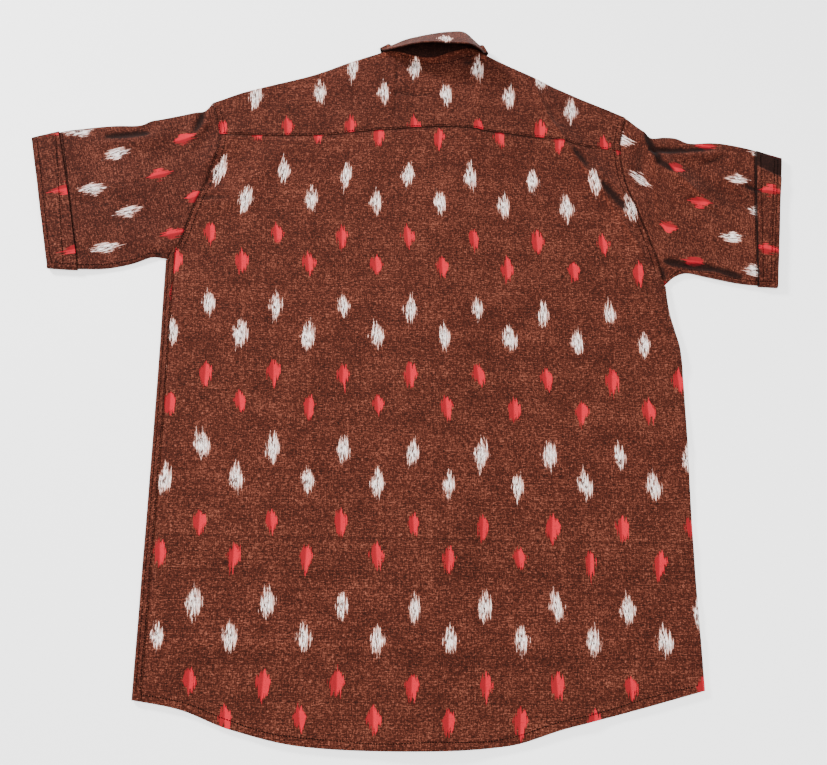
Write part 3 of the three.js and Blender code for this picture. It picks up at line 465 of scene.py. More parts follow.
def shell(name, grid, uv, thickness=CLOTH, keep=None, ring=False, sharp=50, shade=(None, None)):
    """One closed wall of even thickness with the grid halfway through it, and its cloth's UVs.
    shade is painted shade above zero and painted highlight below zero, on its outer and its inner side, a
    number or a grid of them."""
    rows, columns = grid.shape[:2]
    cells, j, i = grid_cells(rows, columns, keep, ring)
    normals = point_normals(grid, cells)
    flat = grid.reshape(-1, 3)
    count = len(flat)
    vertices = np.concatenate([flat + normals * thickness / 2, flat - normals * thickness / 2])
    starts, ends = rim_edges(cells, count)
    rim = np.stack([ends, starts, starts + count, ends + count], 1)
    faces = np.concatenate([cells, cells[:, ::-1] + count, rim])
    a, b, c = (vertices[faces[:, k]] for k in range(3))
    inside_out = np.einsum("ij,ij->", a, np.cross(b, c)) < 0
    if inside_out:
        faces = faces[:, ::-1]
    used, index = np.unique(faces, return_inverse=True)
    mesh = bpy.data.meshes.new(name)
    points = (vertices[used] + np.array([*PLACE, 0])) * MM
    mesh.from_pydata(points.tolist(), [], index.reshape(faces.shape).tolist())
    uv_columns = uv.shape[1]
    where = np.stack([j * uv_columns + i, j * uv_columns + i + 1,
                      (j + 1) * uv_columns + i + 1, (j + 1) * uv_columns + i], 1)
    uv_flat = uv.reshape(-1, 2)
    at_vertex = uv[:, :columns].reshape(-1, 2)
    loops = np.concatenate([uv_flat[where], uv_flat[where[:, ::-1]], at_vertex[rim % count]])
    if inside_out:
        loops = loops[:, ::-1]
    layer = mesh.uv_layers.new(name="cloth")
    layer.data.foreach_set("uv", loops.reshape(-1))
    sides = [np.broadcast_to(0.0 if side is None else side, (rows, columns)).ravel() for side in shade]
    dark = mesh.attributes.new("shade", "FLOAT", "POINT")
    dark.data.foreach_set("value", np.concatenate(sides)[used].astype(np.float32))
    mesh.update()
    mesh.shade_smooth()
    mesh.set_sharp_from_angle(angle=math.radians(sharp))
    return add_object(name, mesh)


def row_end(edge, row_y, guess):
    x = guess
    for _ in range(SETTLING_ROUNDS):
        x = edge(row_y(x))
    return x


def arm_level(left_y, right_y):
    start, end = LEFT_SIDE[-1][1], RIGHT_SIDE[-1][1]
    return lambda x: mix(left_y, right_y, (x - start) / (end - start))


def panel_rows(level, upper, below, above):
    rows = [(s, lambda x, s=s: mix(hem_y(x), level(x), s)) for s in steps(below)]
    return rows + [(1, lambda x, s=s: mix(level(x), upper(x), s)) for s in steps(above)[1:]]


def strip_plan(row, side, underarm, side_x, inset, share):
    """A point of the strip past a side fold, inset from the edge, whose rows slope to its seam."""
    x, y = side_x(underarm["y"]) - side * inset, underarm["y"]
    for _ in range(SETTLING_ROUNDS):
        y = mix(hem_y(x), mix(underarm["y"], underarm["seam_y"], share), row[0])
        x = side_x(y) - side * inset
    return float(x), float(y)


# ---------------------------------------------------------------- cloth coordinates
def past_fold(x, y):
    """From 0 to 1 across the long fold that runs down from the right shoulder."""
    line = np.interp(np.asarray(y, float), [67, 179, 220, 268, 331], [254, 237, 199, 160, 139])
    return smoothstep(-6, 10, x - line)


def back_cloth(x, y):
    x, y = x + PLACE[0], y + PLACE[1]
    # The back is gathered a little under the yoke.
    narrowed = 1 + 0.055 * smoothstep(150, 250, y)
    drift = np.interp(y, *zip(*BACK_DRIFT))
    return np.stack(np.broadcast_arrays((x - BACK_ORIGIN[0] - drift) * narrowed, y - BACK_ORIGIN[1]), -1)


def yoke_cloth(x, y):
    x, y = x + PLACE[0], y + PLACE[1]
    droop = 2e-4 * np.clip(10 - x, 0, None) ** 2
    lost = 13 * past_fold(x, y)
    return np.stack(np.broadcast_arrays(x - YOKE_ORIGIN[0], y - YOKE_ORIGIN[1] + droop + lost), -1)


def sleeve_cloth(x, y, origin, up, drape, drift):
    rx, ry = x + PLACE[0] - origin[0], y + PLACE[1] - origin[1]
    along = rx * up[0] + ry * up[1]
    across = rx * up[1] - ry * up[0] + np.interp(along, *zip(*drift))
    return np.stack([across, np.interp(along, *zip(*drape))], -1)


# ---------------------------------------------------------------- back
BACK_COLUMNS, BACK_BELOW, BACK_ABOVE = 184, 138, 56
FOLD_STEPS, STRIP_STEPS, LAP_STEPS = 8, 5, 22


def hem_rise(x, y):
    """The turned-up hem is two layers thicker, and puckers along its stitching."""
    up = (y - hem_y(x)) + 0.8 * np.sin(x / 17.0)
    band = 1 - smoothstep(HEM_DEPTH - 1, HEM_DEPTH + 0.6, up)
    pucker = 0.16 * np.sin(x / 1.9 + 2 * np.sin(x / 23.0)) * np.exp(-(((up - HEM_DEPTH) / 4) ** 2))
    return 0.5 * band + pucker


def make_back():
    def left_edge(y):
        seam = left_side_x(y) + SIDE_SEAM_INSET - TUCK
        return np.where(y <= LEFT_UNDERARM["seam_y"], seam, left_armhole_x(y))

    def right_edge(y):
        return np.where(y <= RIGHT_UNDERARM["y"], right_side_x(y) - FOLD_REACH, right_armhole_x(y))

    def tucked(x, y):
        to_seam = np.where(y <= LEFT_UNDERARM["seam_y"], x - left_side_x(y) - SIDE_SEAM_INSET, FAR)
        under_strip = 1 - smoothstep(0.3, 3.0, to_seam)
        under_yoke = smoothstep(-3.2, -0.4, y - back_yoke_y(x))
        return -TUCK_DROP * np.maximum(under_strip, under_yoke)

    rows = panel_rows(arm_level(LEFT_UNDERARM["seam_y"], RIGHT_UNDERARM["y"]),
                      lambda x: back_yoke_y(x) + TUCK, BACK_BELOW, BACK_ABOVE)
    grid, cloth = [], []
    for row in rows:
        left, right = row_end(left_edge, row[1], ARM_LEFT), row_end(right_edge, row[1], ARM_RIGHT)
        x = mix(left, right, steps(BACK_COLUMNS))
        y = row[1](x)
        across = over_point(x, y, tucked(x, y) + hem_rise(x, y))
        turn = fold_point(right, row[1](right), (1, 0), steps(FOLD_STEPS)[1:], 0)
        plan = [strip_plan(row, RIGHT, RIGHT_UNDERARM, right_side_x, mix(FOLD_REACH, SIDE_SEAM_INSET, s), s)
                for s in steps(STRIP_STEPS)[1:]]
        strip = np.array([under_point(*p) for p in plan])
        grid.append(np.concatenate([across, turn, strip]))
        past = run_lengths(grid[-1][BACK_COLUMNS:])
        seen = back_cloth(x, y)
        beyond = np.stack([seen[-1, 0] + past, np.full(len(past), seen[-1, 1])], -1)
        cloth.append(np.concatenate([seen, beyond]))
    keep = lambda j, i: (i < BACK_COLUMNS) | (j < BACK_BELOW)
    grid = np.array(grid)
    x, y = grid[..., 0], grid[..., 1]
    # Painted shade in troughs and in the folds of the yoke seam and the side seam, on the upper layer only.
    shade = darker(crease_shade(x, y), near_seam(y - back_yoke_y(x) + SEAM_FOLD))
    to_side = np.where(y <= LEFT_UNDERARM["seam_y"], x - left_side_x(y) - SIDE_SEAM_INSET - SEAM_FOLD, FAR)
    shade = darker(shade, near_seam(to_side)) * (grid[..., 2] > OVER)
    return shell("back_cloth", grid, np.array(cloth), keep=keep, shade=(shade, shade))


# ---------------------------------------------------------------- yoke
YOKE_COLUMNS = {"left": 62, "neck": 54, "right": 58}
YOKE_BACK, YOKE_FRONT = 40, 10


def front_yoke_y(x):
    return np.where(x < CENTRE_X, left_shoulder_y(x), right_shoulder_y(x)) - YOKE_FORWARD


def yoke_crown_y(x):
    x = np.asarray(x, float)
    sides = np.where(x < NECK_LEFT, left_shoulder_y(x), right_shoulder_y(x)) - FOLD_REACH
    return np.where((x < NECK_LEFT) | (x > NECK_RIGHT), sides, back_neckline_y(x) - SEAM_GAP)


def further(cloth, row, next_row):
    """The cloth coordinates of a row, a step on from those of the row before."""
    step = np.linalg.norm(next_row - row, axis=1)
    return cloth + np.stack([0 * step, step], -1)


def make_yoke():
    crown_x = np.concatenate([mix(ARM_LEFT, NECK_LEFT, steps(YOKE_COLUMNS["left"])[:-1]),
                              mix(NECK_LEFT, NECK_RIGHT, steps(YOKE_COLUMNS["neck"])),
                              mix(NECK_RIGHT, ARM_RIGHT, steps(YOKE_COLUMNS["right"])[1:])])
    crown_y = yoke_crown_y(crown_x)
    rows, cloth, bands = [], [], []
    across = (crown_x - ARM_LEFT) / (ARM_RIGHT - ARM_LEFT)
    for share in steps(YOKE_BACK):
        x = crown_x
        for _ in range(SETTLING_ROUNDS):
            y = np.minimum(mix(back_yoke_y(x), crown_y, share), ARM_TOP)
            x = mix(left_armhole_x(y), right_armhole_x(y), across)
        y = mix(back_yoke_y(x), crown_y, share)
        pucker = 0.14 * np.sin(x / 2.1 + 2 * np.sin(x / 19.0)) * np.exp(-((y - back_yoke_y(x)) / 5) ** 2)
        at_neck = (crown_x >= NECK_LEFT) & (crown_x <= NECK_RIGHT)
        depth = NECK_BAND["depth"]
        band = at_neck * (1 - smoothstep(depth - NECK_BAND["edge"], depth, crown_y - y))
        bands.append(band)
        rows.append(over_point(x, y, YOKE_LIFT + pucker + NECK_BAND["height"] * band))
        cloth.append(yoke_cloth(x, y))
    for share in steps(FOLD_STEPS)[1:]:
        rows.append(fold_point(crown_x, crown_y, (0, 1), share, YOKE_LIFT * (1 - share)))
        cloth.append(further(cloth[-1], *rows[-2:]))
    side = np.where(crown_x < CENTRE_X, LEFT, RIGHT)
    arm_x = np.where(side < 0, ARM_LEFT, ARM_RIGHT)
    neck_x = np.where(side < 0, NECK_LEFT, NECK_RIGHT)
    share_across = (crown_x - arm_x) / (neck_x - arm_x)
    fold_y = yoke_crown_y(np.where(share_across > 0.99, neck_x + side * 0.01, crown_x))
    for share in steps(YOKE_FRONT)[1:]:
        x = crown_x
        for _ in range(SETTLING_ROUNDS):
            y = mix(fold_y, front_yoke_y(x), share)
            armhole = np.where(side < 0, left_armhole_front_x(y), right_armhole_front_x(y))
            x = mix(armhole, CENTRE_X + side * (neckline_half(y) + SEAM_GAP), share_across)
        rows.append(under_point(mix(crown_x, x, min(share * 3, 1)), y))
        cloth.append(further(cloth[-1], *rows[-2:]))
    first, last = YOKE_COLUMNS["left"], YOKE_COLUMNS["left"] + YOKE_COLUMNS["neck"]
    keep = lambda j, i: (j < YOKE_BACK) | (i < first) | (i >= last)
    grid = np.array(rows)
    # Painted shade in troughs on the back of the yoke, and painted light on the neck band where the collar
    # leaf's shadow falls.
    shade = crease_shade(grid[..., 0], grid[..., 1]) * (np.arange(len(grid)) <= YOKE_BACK)[:, None]
    shade[:YOKE_BACK + 1] = np.minimum(shade[:YOKE_BACK + 1], 1 - (1 + NECK_BAND["painted_light"]) * np.array(bands))
    return shell("yoke_cloth", grid, np.array(cloth), keep=keep, shade=(shade, shade))


# ---------------------------------------------------------------- fronts
FRONT_BELOW, FRONT_ABOVE, FRONT_PANEL = 70, 46, 34


def front_crown_y(x):
    half = np.abs(x - CENTRE_X)
    return np.minimum(front_yoke_y(x), front_neckline_y(half)) - 2 * SEAM_GAP


def make_left_front():
    def seam_x(y):
        return np.where(y <= LEFT_UNDERARM["y"], left_side_x(y) + FOLD_REACH, left_armhole_front_x(y))

    rows = panel_rows(arm_level(LEFT_UNDERARM["y"], RIGHT_UNDERARM["y"]), front_crown_y,
                      FRONT_BELOW, FRONT_ABOVE)
    inner = CENTRE_X - LAP_RAMP[1]
    grid, cloth = [], []
    for row in rows:
        tangent = row_end(seam_x, row[1], ARM_LEFT)
        y = float(row[1](tangent))
        plan = [strip_plan(row, LEFT, LEFT_UNDERARM, left_side_x, mix(FOLD_REACH, SIDE_SEAM_INSET, s), s)
                for s in steps(STRIP_STEPS)[:0:-1]]
        strip = np.array([over_point(px, py, STRIP_LIFT + hem_rise(px, py)) for px, py in plan])
        turns = steps(FOLD_STEPS)[:-1]
        turn = fold_point(tangent, y, (LEFT, 0), turns, STRIP_LIFT * (1 - turns))
        x = np.concatenate([mix(tangent, inner, steps(FRONT_PANEL)[:-1]),
                            mix(inner, CENTRE_X + LAP_HALF, steps(LAP_STEPS))])
        grid.append(np.concatenate([strip, turn, under_point(x, row[1](x))]))
        fold = grid[-1][: STRIP_STEPS + FOLD_STEPS + 1]
        back_arc = run_lengths(fold[::-1])[::-1]
        u = np.concatenate([tangent - back_arc, x])
        v = row[1](np.maximum(u, tangent)) - FRONT_CLOTH["left_y"]
        cloth.append(np.stack([FRONT_CLOTH["left_x"] - u, v], -1))
    rolled = STRIP_STEPS + FOLD_STEPS
    keep = lambda j, i: (i >= rolled) | (j < FRONT_BELOW)
    return shell("front_left_cloth", np.array(grid), np.array(cloth), keep=keep)


def make_right_front():
    def seam_x(y):
        seam = right_side_x(y) - SIDE_SEAM_INSET - SEAM_GAP
        return np.where(y <= RIGHT_UNDERARM["seam_y"], seam, right_armhole_front_x(y))

    rows = panel_rows(arm_level(LEFT_UNDERARM["y"], RIGHT_UNDERARM["seam_y"]), front_crown_y,
                      FRONT_BELOW, FRONT_ABOVE)
    outer = CENTRE_X + LAP_RAMP[1]
    grid, cloth = [], []
    for row in rows:
        right = row_end(seam_x, row[1], ARM_RIGHT)
        x = np.concatenate([mix(CENTRE_X - LAP_HALF, outer, steps(LAP_STEPS)[:-1]),
                            mix(outer, right, steps(FRONT_PANEL))])
        y = row[1](x)
        grid.append(under_point(x, y, lap_raise(x)))
        cloth.append(np.stack([FRONT_CLOTH["right_x"] - x, y - FRONT_CLOTH["right_y"]], -1))
    return shell("front_right_cloth", np.array(grid), np.array(cloth))


# ---------------------------------------------------------------- sleeves and cuffs
SLEEVE_OVER, SLEEVE_UNDER, SLEEVE_ALONG, CUFF_STEPS = 100, 30, 84, 16
CUFF = {"thickness": 1.0, "above": 0.85 * STRADDLE}
CUFF_CORNER = {"from": (391, 233), "to": (418, 219), "drop": 1.2}
HEAD_SINK = 0.4
ARMHOLE_GAP = 0.3


def sleeve_plan(sleeve, armhole, along, down):
    """A point of the flat sleeve, along from the armhole, down from the upper fold."""
    over, under = sleeve["over_fold"](along), sleeve["under_fold"](along)
    start, end = sleeve["over_fold"](0), sleeve["under_fold"](0)
    arm_x, arm_y = armhole(down)
    pull = (1 - along) ** 2
    x = mix(over[0], under[0], down) + pull * (arm_x - mix(start[0], end[0], down))
    y = mix(over[1], under[1], down) + pull * (arm_y - mix(start[1], end[1], down))
    return x + sleeve["side"] * ARMHOLE_GAP * pull, y


def armhole_point(curve, table):
    def at(share):
        y = mix(table[0][0], table[-1][0], share)
        return curve(y), y + (FOLD_REACH + 3 * SEAM_GAP) * share
    return at


def sleeve_span(fold):
    return abs(fold[-1][0] - fold[0][0])


def sleeve_rings(shape, back, front):
    sleeve = {
        "side": shape["side"],
        "over_fold": even_guide([(x, y - FOLD_REACH) for x, y in shape["over"]]),
        "under_fold": even_guide([(x, y + FOLD_REACH) for x, y in shape["under"]]),
    }

    def length(down):
        return mix(sleeve_span(shape["over"]), sleeve_span(shape["under"]), down)

    def cuff_depth(down):
        return mix(*shape["cuff"], down)

    def cuff_start(down):
        return 1 - cuff_depth(down) / length(down)

    stations = [lambda down, s=s: s * cuff_start(down) for s in steps(SLEEVE_ALONG)[:-1]]
    stations += [lambda down, s=s: mix(cuff_start(down), 1, s) for s in steps(CUFF_STEPS)]
    turns = steps(FOLD_STEPS)[1:-1]
    rings = []
    for along in stations:
        def plan(armhole, down):
            return sleeve_plan(sleeve, armhole, along(down), down)

        def extra(down):
            to_cuff = (1 - along(down)) * length(down) - cuff_depth(down)
            return STRADDLE * (1 - smoothstep(*CUFF_RAMP, to_cuff))

        over, under = steps(SLEEVE_OVER), steps(SLEEVE_UNDER)[::-1]
        rings.append(np.concatenate([
            over_point(*plan(back, over), extra(over)),
            fold_point(*plan(back, 1), (0, -1), turns, extra(1)),
            under_point(*plan(front, under), extra(under)),
            fold_point(*plan(back, 0), (0, 1), 1 - turns, extra(0)),
        ]))
    neck = rings[0].copy()
    over_turn = np.linspace(-TUCK_DROP, TUCK_DROP, FOLD_STEPS + 1)[1:-1]
    sink = np.concatenate([np.full(SLEEVE_OVER + 1, -TUCK_DROP), over_turn,
                           np.full(SLEEVE_UNDER + 1, TUCK_DROP), -over_turn])
    neck[:, 2] += sink
    head = neck.copy()
    head[:, 0] -= shape["side"] * TUCK
    body, arm = (over_point(ring[:, 0], ring[:, 1])[:, 2] for ring in (head, neck))
    head[:, 2] += np.where(sink < 0, body - arm - HEAD_SINK, 0)
    return np.array([head, neck, *rings[1:]])


def ring_cloth(rings, origin, up, drape, drift=((0, 0),)):
    """Cloth coordinates round a sleeve: its upper side by place, then on by length."""
    upper = SLEEVE_OVER + 1
    seen = sleeve_cloth(rings[:, :upper, 0], rings[:, :upper, 1], origin, up, drape, drift)
    closed = np.concatenate([rings, rings[:, :1]], axis=1)
    direction = np.sign(seen[:, -1:, 0] - seen[:, :1, 0])
    u = seen[:, -1:, 0] + direction * run_lengths(closed[:, upper - 1:], 1)
    v = np.repeat(seen[:, -1:, 1], u.shape[1], axis=1)
    tilt = (seen[:, :1, 1] - seen[:, -1:, 1])
    v = v + tilt * np.linspace(0, 1, u.shape[1])
    return np.concatenate([seen, np.stack([u, v], -1)], axis=1)


def ring_shade(rings):
    """Painted shade: troughs and the cloth by the armhole are painted dark on the upper side of a sleeve
    only.
    """
    above = np.arange(rings.shape[1]) <= SLEEVE_OVER
    head = np.interp(np.arange(len(rings)), [0, 1, 2], [0.9, 0.8, 0.0])[:, None]
    return darker(crease_shade(rings[..., 0], rings[..., 1]), head) * above


def past_corner(x, y):
    """1 where the back of the right cuff is folded down, so that the front shows its inside."""
    (x0, y0), (x1, y1) = CUFF_CORNER["from"], CUFF_CORNER["to"]
    above = ((x1 - x0) * (y - y0) - (y1 - y0) * (x - x0)) / math.hypot(x1 - x0, y1 - y0)
    return smoothstep(-0.6, 0.8, above) * (x > x0 - 6)


def make_sleeve(side, shape, tables, curves, cloth):
    rings = sleeve_rings(shape, armhole_point(curves[0], tables[0]), armhole_point(curves[1], tables[1]))
    coordinates = ring_cloth(rings, cloth["origin"], cloth["up"], cloth["drape"], cloth["drift"])
    # Painted shade: troughs, the armhole seam and the cuff's inner edge, where the standing edge shades the
    # sleeve.
    shade = ring_shade(rings)
    shade[-CUFF_STEPS - 2:-CUFF_STEPS] = np.maximum(shade[-CUFF_STEPS - 2:-CUFF_STEPS], cloth["cuff_edge_shade"])
    sleeve = shell(f"sleeve_{side}_cloth", rings, coordinates, ring=True, shade=(shade, shade))
    rows, columns = rings.shape[:2]
    cells, _, _ = grid_cells(rows, columns, None, True)
    normals = point_normals(rings, cells).reshape(rings.shape)
    centre = rings[-1].mean(axis=0)
    outward = np.sign(np.dot(normals[-1, 0], rings[-1, 0] - centre))
    first = rows - CUFF_STEPS - 1
    band = rings[first:] + outward * normals[first:] * CUFF["above"]
    down = (-cloth["up"][0], -cloth["up"][1])
    coordinates = ring_cloth(band, cloth["cuff"], down, cloth["cuff_drape"])
    coordinates = coordinates - np.array([0, MOTIF_ROWS[2][0]])
    # Painted shade in the cuff's troughs; on the right cuff the folded-down corner is also sunk and painted
    # dark, painted shade on the inside that shows.
    shade = crease_shade(band[..., 0], band[..., 1]) * (np.arange(columns) <= SLEEVE_OVER)
    if side == "right":
        column = np.arange(columns)
        behind = (column <= SLEEVE_OVER) | (column > columns - FOLD_STEPS)
        folded = past_corner(band[..., 0], band[..., 1]) * behind
        band[..., 2] -= CUFF_CORNER["drop"] * folded
        shade = darker(shade, 0.9 * folded)
    cuff = shell(f"cuff_{side}_cloth", band, coordinates, thickness=CUFF["thickness"], ring=True,
                 shade=(shade, shade))
    return sleeve, cuff


# ---------------------------------------------------------------- collar
def collar_rows():
    rows = []
    for seam, top, edge, turn, rise in COLLAR:
        angles = TURN_ANGLES if turn is None else [turn]
        for angle in angles if seam[0] < CENTRE_X else angles[::-1]:
            rows.append((np.array(seam), np.array(top), np.array(edge), angle, rise, turn is None))
    return rows


def turned(row, plan, shape, rise=0):
    seam, top, edge, angle, _, turns = row
    turn = math.radians(angle)
    down = (edge - top) / np.linalg.norm(edge - top)
    side = LEFT if seam[0] < CENTRE_X else RIGHT
    reach = side * shape["reach"] * math.cos(turn) if turns else 0
    swell = shape["swell"] * (1 + math.sin(turn)) / 2
    height = COLLAR_AXIS + shape["height"] * math.sin(turn) + swell + rise
    return np.array([plan[0] - down[1] * reach, plan[1] + down[0] * reach, height])


def collar_shares():
    rows = collar_rows()
    gaps = len(rows) - 1
    shares = []
    for k in range(gaps):
        between = COLLAR_STEPS["turn" if rows[k][5] and rows[k + 1][5] else "lying"]
        shares += [(k + part) / gaps for part in steps(between)[:-1]]
    return shares + [1]


def collar_guides():
    rows = collar_rows()
    return {
        "seam": guide([turned(r, r[0], STAND_TURN) for r in rows]),
        "top": guide([turned(r, r[1], STAND_TURN) for r in rows]),
        "root": guide([turned(r, r[1], ROOT_TURN) for r in rows]),
        "roll": guide([turned(r, r[1], LEAF_TURN) for r in rows]),
        "edge": guide([turned(r, r[2], LEAF_TURN, r[4]) for r in rows]),
    }


def stand_section(guides, share, lap=0):
    seam, top = guides["seam"](share), guides["top"](share)
    seam[0] += lap
    top[0] += lap
    front = front_neckline_y(abs(seam[0] - CENTRE_X)) + NECK_GAP
    back = back_neckline_y(seam[0]) + NECK_GAP
    seam[1] = max(seam[1], back if seam[2] > COLLAR_AXIS else front)
    rise = STAND_LAP["drop"] * smoothstep(STAND_LAP["from"], STAND_LAP["to"], share)
    section = mix(seam[None], top[None], steps(COLLAR_STEPS["stand"])[:, None])
    out = (seam - top) / np.linalg.norm(seam - top)
    inward = -STAND_TUCK["drop"] * np.clip((seam[2] - COLLAR_AXIS) / STAND_TURN["height"], -1, 1)
    tucked = seam + out * STAND_TUCK["length"] + np.array([0, 0, inward])
    tuck = mix(tucked[None], seam[None], steps(COLLAR_STEPS["tuck"])[:-1, None])
    section = np.concatenate([tuck, section])
    section[:, 2] += rise
    return section


def leaf_section(guides, share):
    seam, root, roll, edge = (guides[k](share) for k in ("seam", "root", "roll", "edge"))
    up = (root - seam) / np.linalg.norm(root - seam)
    down = (edge - roll) / np.linalg.norm(edge - roll)
    start = root + up * ROLL_GAP
    p = [start, start + up * ROLL_BULGE, roll - down * ROLL_BULGE, roll]
    t = steps(COLLAR_STEPS["bend"])[:, None]
    bend = ((1 - t) ** 3 * p[0] + 3 * (1 - t) ** 2 * t * p[1] + 3 * (1 - t) * t ** 2 * p[2] + t ** 3 * p[3])
    fall = mix(roll[None], edge[None], steps(COLLAR_STEPS["fall"])[1:, None])
    section = np.concatenate([bend, fall])
    section[:, 2] = np.maximum(section[:, 2], COLLAR_CLOTH / 2)
    return section


def band_cloth(grid, origin):
    """Cloth coordinates of a band: along it by the length of its first column, across by length."""
    along = from_zero(run_lengths(grid[:, 0]))[:, None] + origin[0]
    across = np.concatenate([np.zeros((len(grid), 1)), run_lengths(grid, 1)], axis=1) + origin[1]
    return np.stack([np.broadcast_to(along, across.shape), across], -1)


def make_collar():
    guides = collar_guides()
    body = [stand_section(guides, s) for s in collar_shares()]
    grid = np.array([stand_section(guides, 0, STAND_LAP["length"]), *body,
                     stand_section(guides, 1, -STAND_LAP["length"])])
    # Painted shade on the stand behind the neck, under the collar leaf.
    stand_shade = INSIDE_SHADE * smoothstep(COLLAR_AXIS - 0.8, COLLAR_AXIS + 0.8, grid[..., 2])
    stand = shell("collar_stand_cloth", grid, band_cloth(grid, STAND_CLOTH), COLLAR_CLOTH,
                  shade=(stand_shade, stand_shade))
    leaf_grid = np.array([leaf_section(guides, s) for s in collar_shares()])
    coordinates = band_cloth(leaf_grid, (0, 0))
    to_motif = np.hypot(leaf_grid[..., 0] - LEAF_MOTIF[0], leaf_grid[..., 1] - LEAF_MOTIF[1])
    to_motif += 1000 * (leaf_grid[..., 2] < 2 * COLLAR_AXIS)
    coordinates -= coordinates[np.unravel_index(np.argmin(to_motif), to_motif.shape)]
    coordinates[..., 1] += LEAF_CURVE["most"] * smoothstep(*LEAF_CURVE["ramp"], np.abs(coordinates[..., 0]))
    leaf = shell("collar_leaf_cloth", leaf_grid, coordinates, COLLAR_CLOTH, shade=leaf_sides(leaf_grid))
    return stand, leaf


def leaf_sides(grid):
    """Painted shade: the side of the leaf that faces the stand is painted dark, at the roll only halfway.
    """
    cells, _, _ = grid_cells(*grid.shape[:2], None, False)
    normals = point_normals(grid, cells).reshape(grid.shape)
    middle, roll = len(grid) // 2, COLLAR_STEPS["bend"] // 2
    inside = INSIDE_SHADE * smoothstep(2, 10, np.arange(grid.shape[1]))[None, :]
    outward = normals[middle, roll, 1] > 0
    return (0.0, inside) if outward else (inside, 0.0)


# ---------------------------------------------------------------- node helpers
class Net:
    """Adds nodes to one tree, in order, and links what they take."""

    def __init__(self, tree):
        self.tree = tree

    def node(self, kind, inputs=(), **settings):
        made = self.tree.nodes.new(kind)
        for key, value in settings.items():
            setattr(made, key, value)
        for key, value in dict(inputs).items():
            if isinstance(value, bpy.types.NodeSocket):
                self.tree.links.new(value, made.inputs[key])
            else:
                made.inputs[key].default_value = value
        return made

    def math(self, operation, *values):
        return self.node("ShaderNodeMath", enumerate(values), operation=operation).outputs[0]

    def add(self, a, b):
        return self.math("ADD", a, b)

    def sub(self, a, b):
        return self.math("SUBTRACT", a, b)

    def mul(self, a, b):
        return self.math("MULTIPLY", a, b)

    def ramp(self, value, low, high, to_low=0.0, to_high=1.0, smooth=True):
        kind = "SMOOTHSTEP" if smooth else "LINEAR"
        made = self.node("ShaderNodeMapRange", {0: value, 1: low, 2: high, 3: to_low, 4: to_high},
                         interpolation_type=kind)
        return made.outputs[0]

    def vector(self, x, y, z=0.0):
        return self.node("ShaderNodeCombineXYZ", {0: x, 1: y, 2: z}).outputs[0]

    def noise(self, vector, scale, detail=2.0, rough=0.5):
        made = self.node("ShaderNodeTexNoise",
                         {"Vector": vector, "Scale": scale, "Detail": detail, "Roughness": rough},
                         noise_dimensions="3D")
        return made.outputs["Fac"]

    def random(self, vector):
        made = self.node("ShaderNodeTexWhiteNoise", {"Vector": vector}, noise_dimensions="3D")
        return made.outputs["Value"]

    def blend(self, share, a, b, kind="MIX"):
        made = self.node("ShaderNodeMix", {0: share, 6: a, 7: b}, data_type="RGBA", blend_type=kind)
        return made.outputs[2]

    def surface(self, inputs):
        """Ends the tree with a shader that takes these inputs."""
        shader = self.node("ShaderNodeBsdfPrincipled", inputs)
        self.node("ShaderNodeOutputMaterial", {"Surface": shader.outputs[0]})

    def place(self):
        return self.node("ShaderNodeTexCoord").outputs["Object"]


def new_material(name):
    material = bpy.data.materials.new(name)
    material.use_nodes = True
    material.node_tree.nodes.clear()
    return material, Net(material.node_tree)


def linear(red, green, blue):
    """An sRGB colour, 0 to 255, as the linear one that a shader takes."""
    return tuple(((c / 255 + 0.055) / 1.055) ** 2.4 if c > 10 else c / 255 / 12.92
                 for c in (red, green, blue)) + (1,)


# ---------------------------------------------------------------- the cloth's material
BROWN = linear(62, 24, 15)
DARK_BROWN = linear(23, 8, 5)
PALE_FLECK = linear(134, 76, 59)
WHITE_YARN = linear(252, 246, 241)
WHITE_SHADE = linear(206, 150, 134)
RED_YARN = linear(190, 22, 42)
RED_SHADE = linear(132, 21, 28)
THREAD_PITCH = 0.55
DEEP_SHADE = linear(18, 7, 5)
# How much paler the painted highlights make the cloth.
HIGHLIGHT_GAIN = (1.7, 1.6, 1.5, 1)


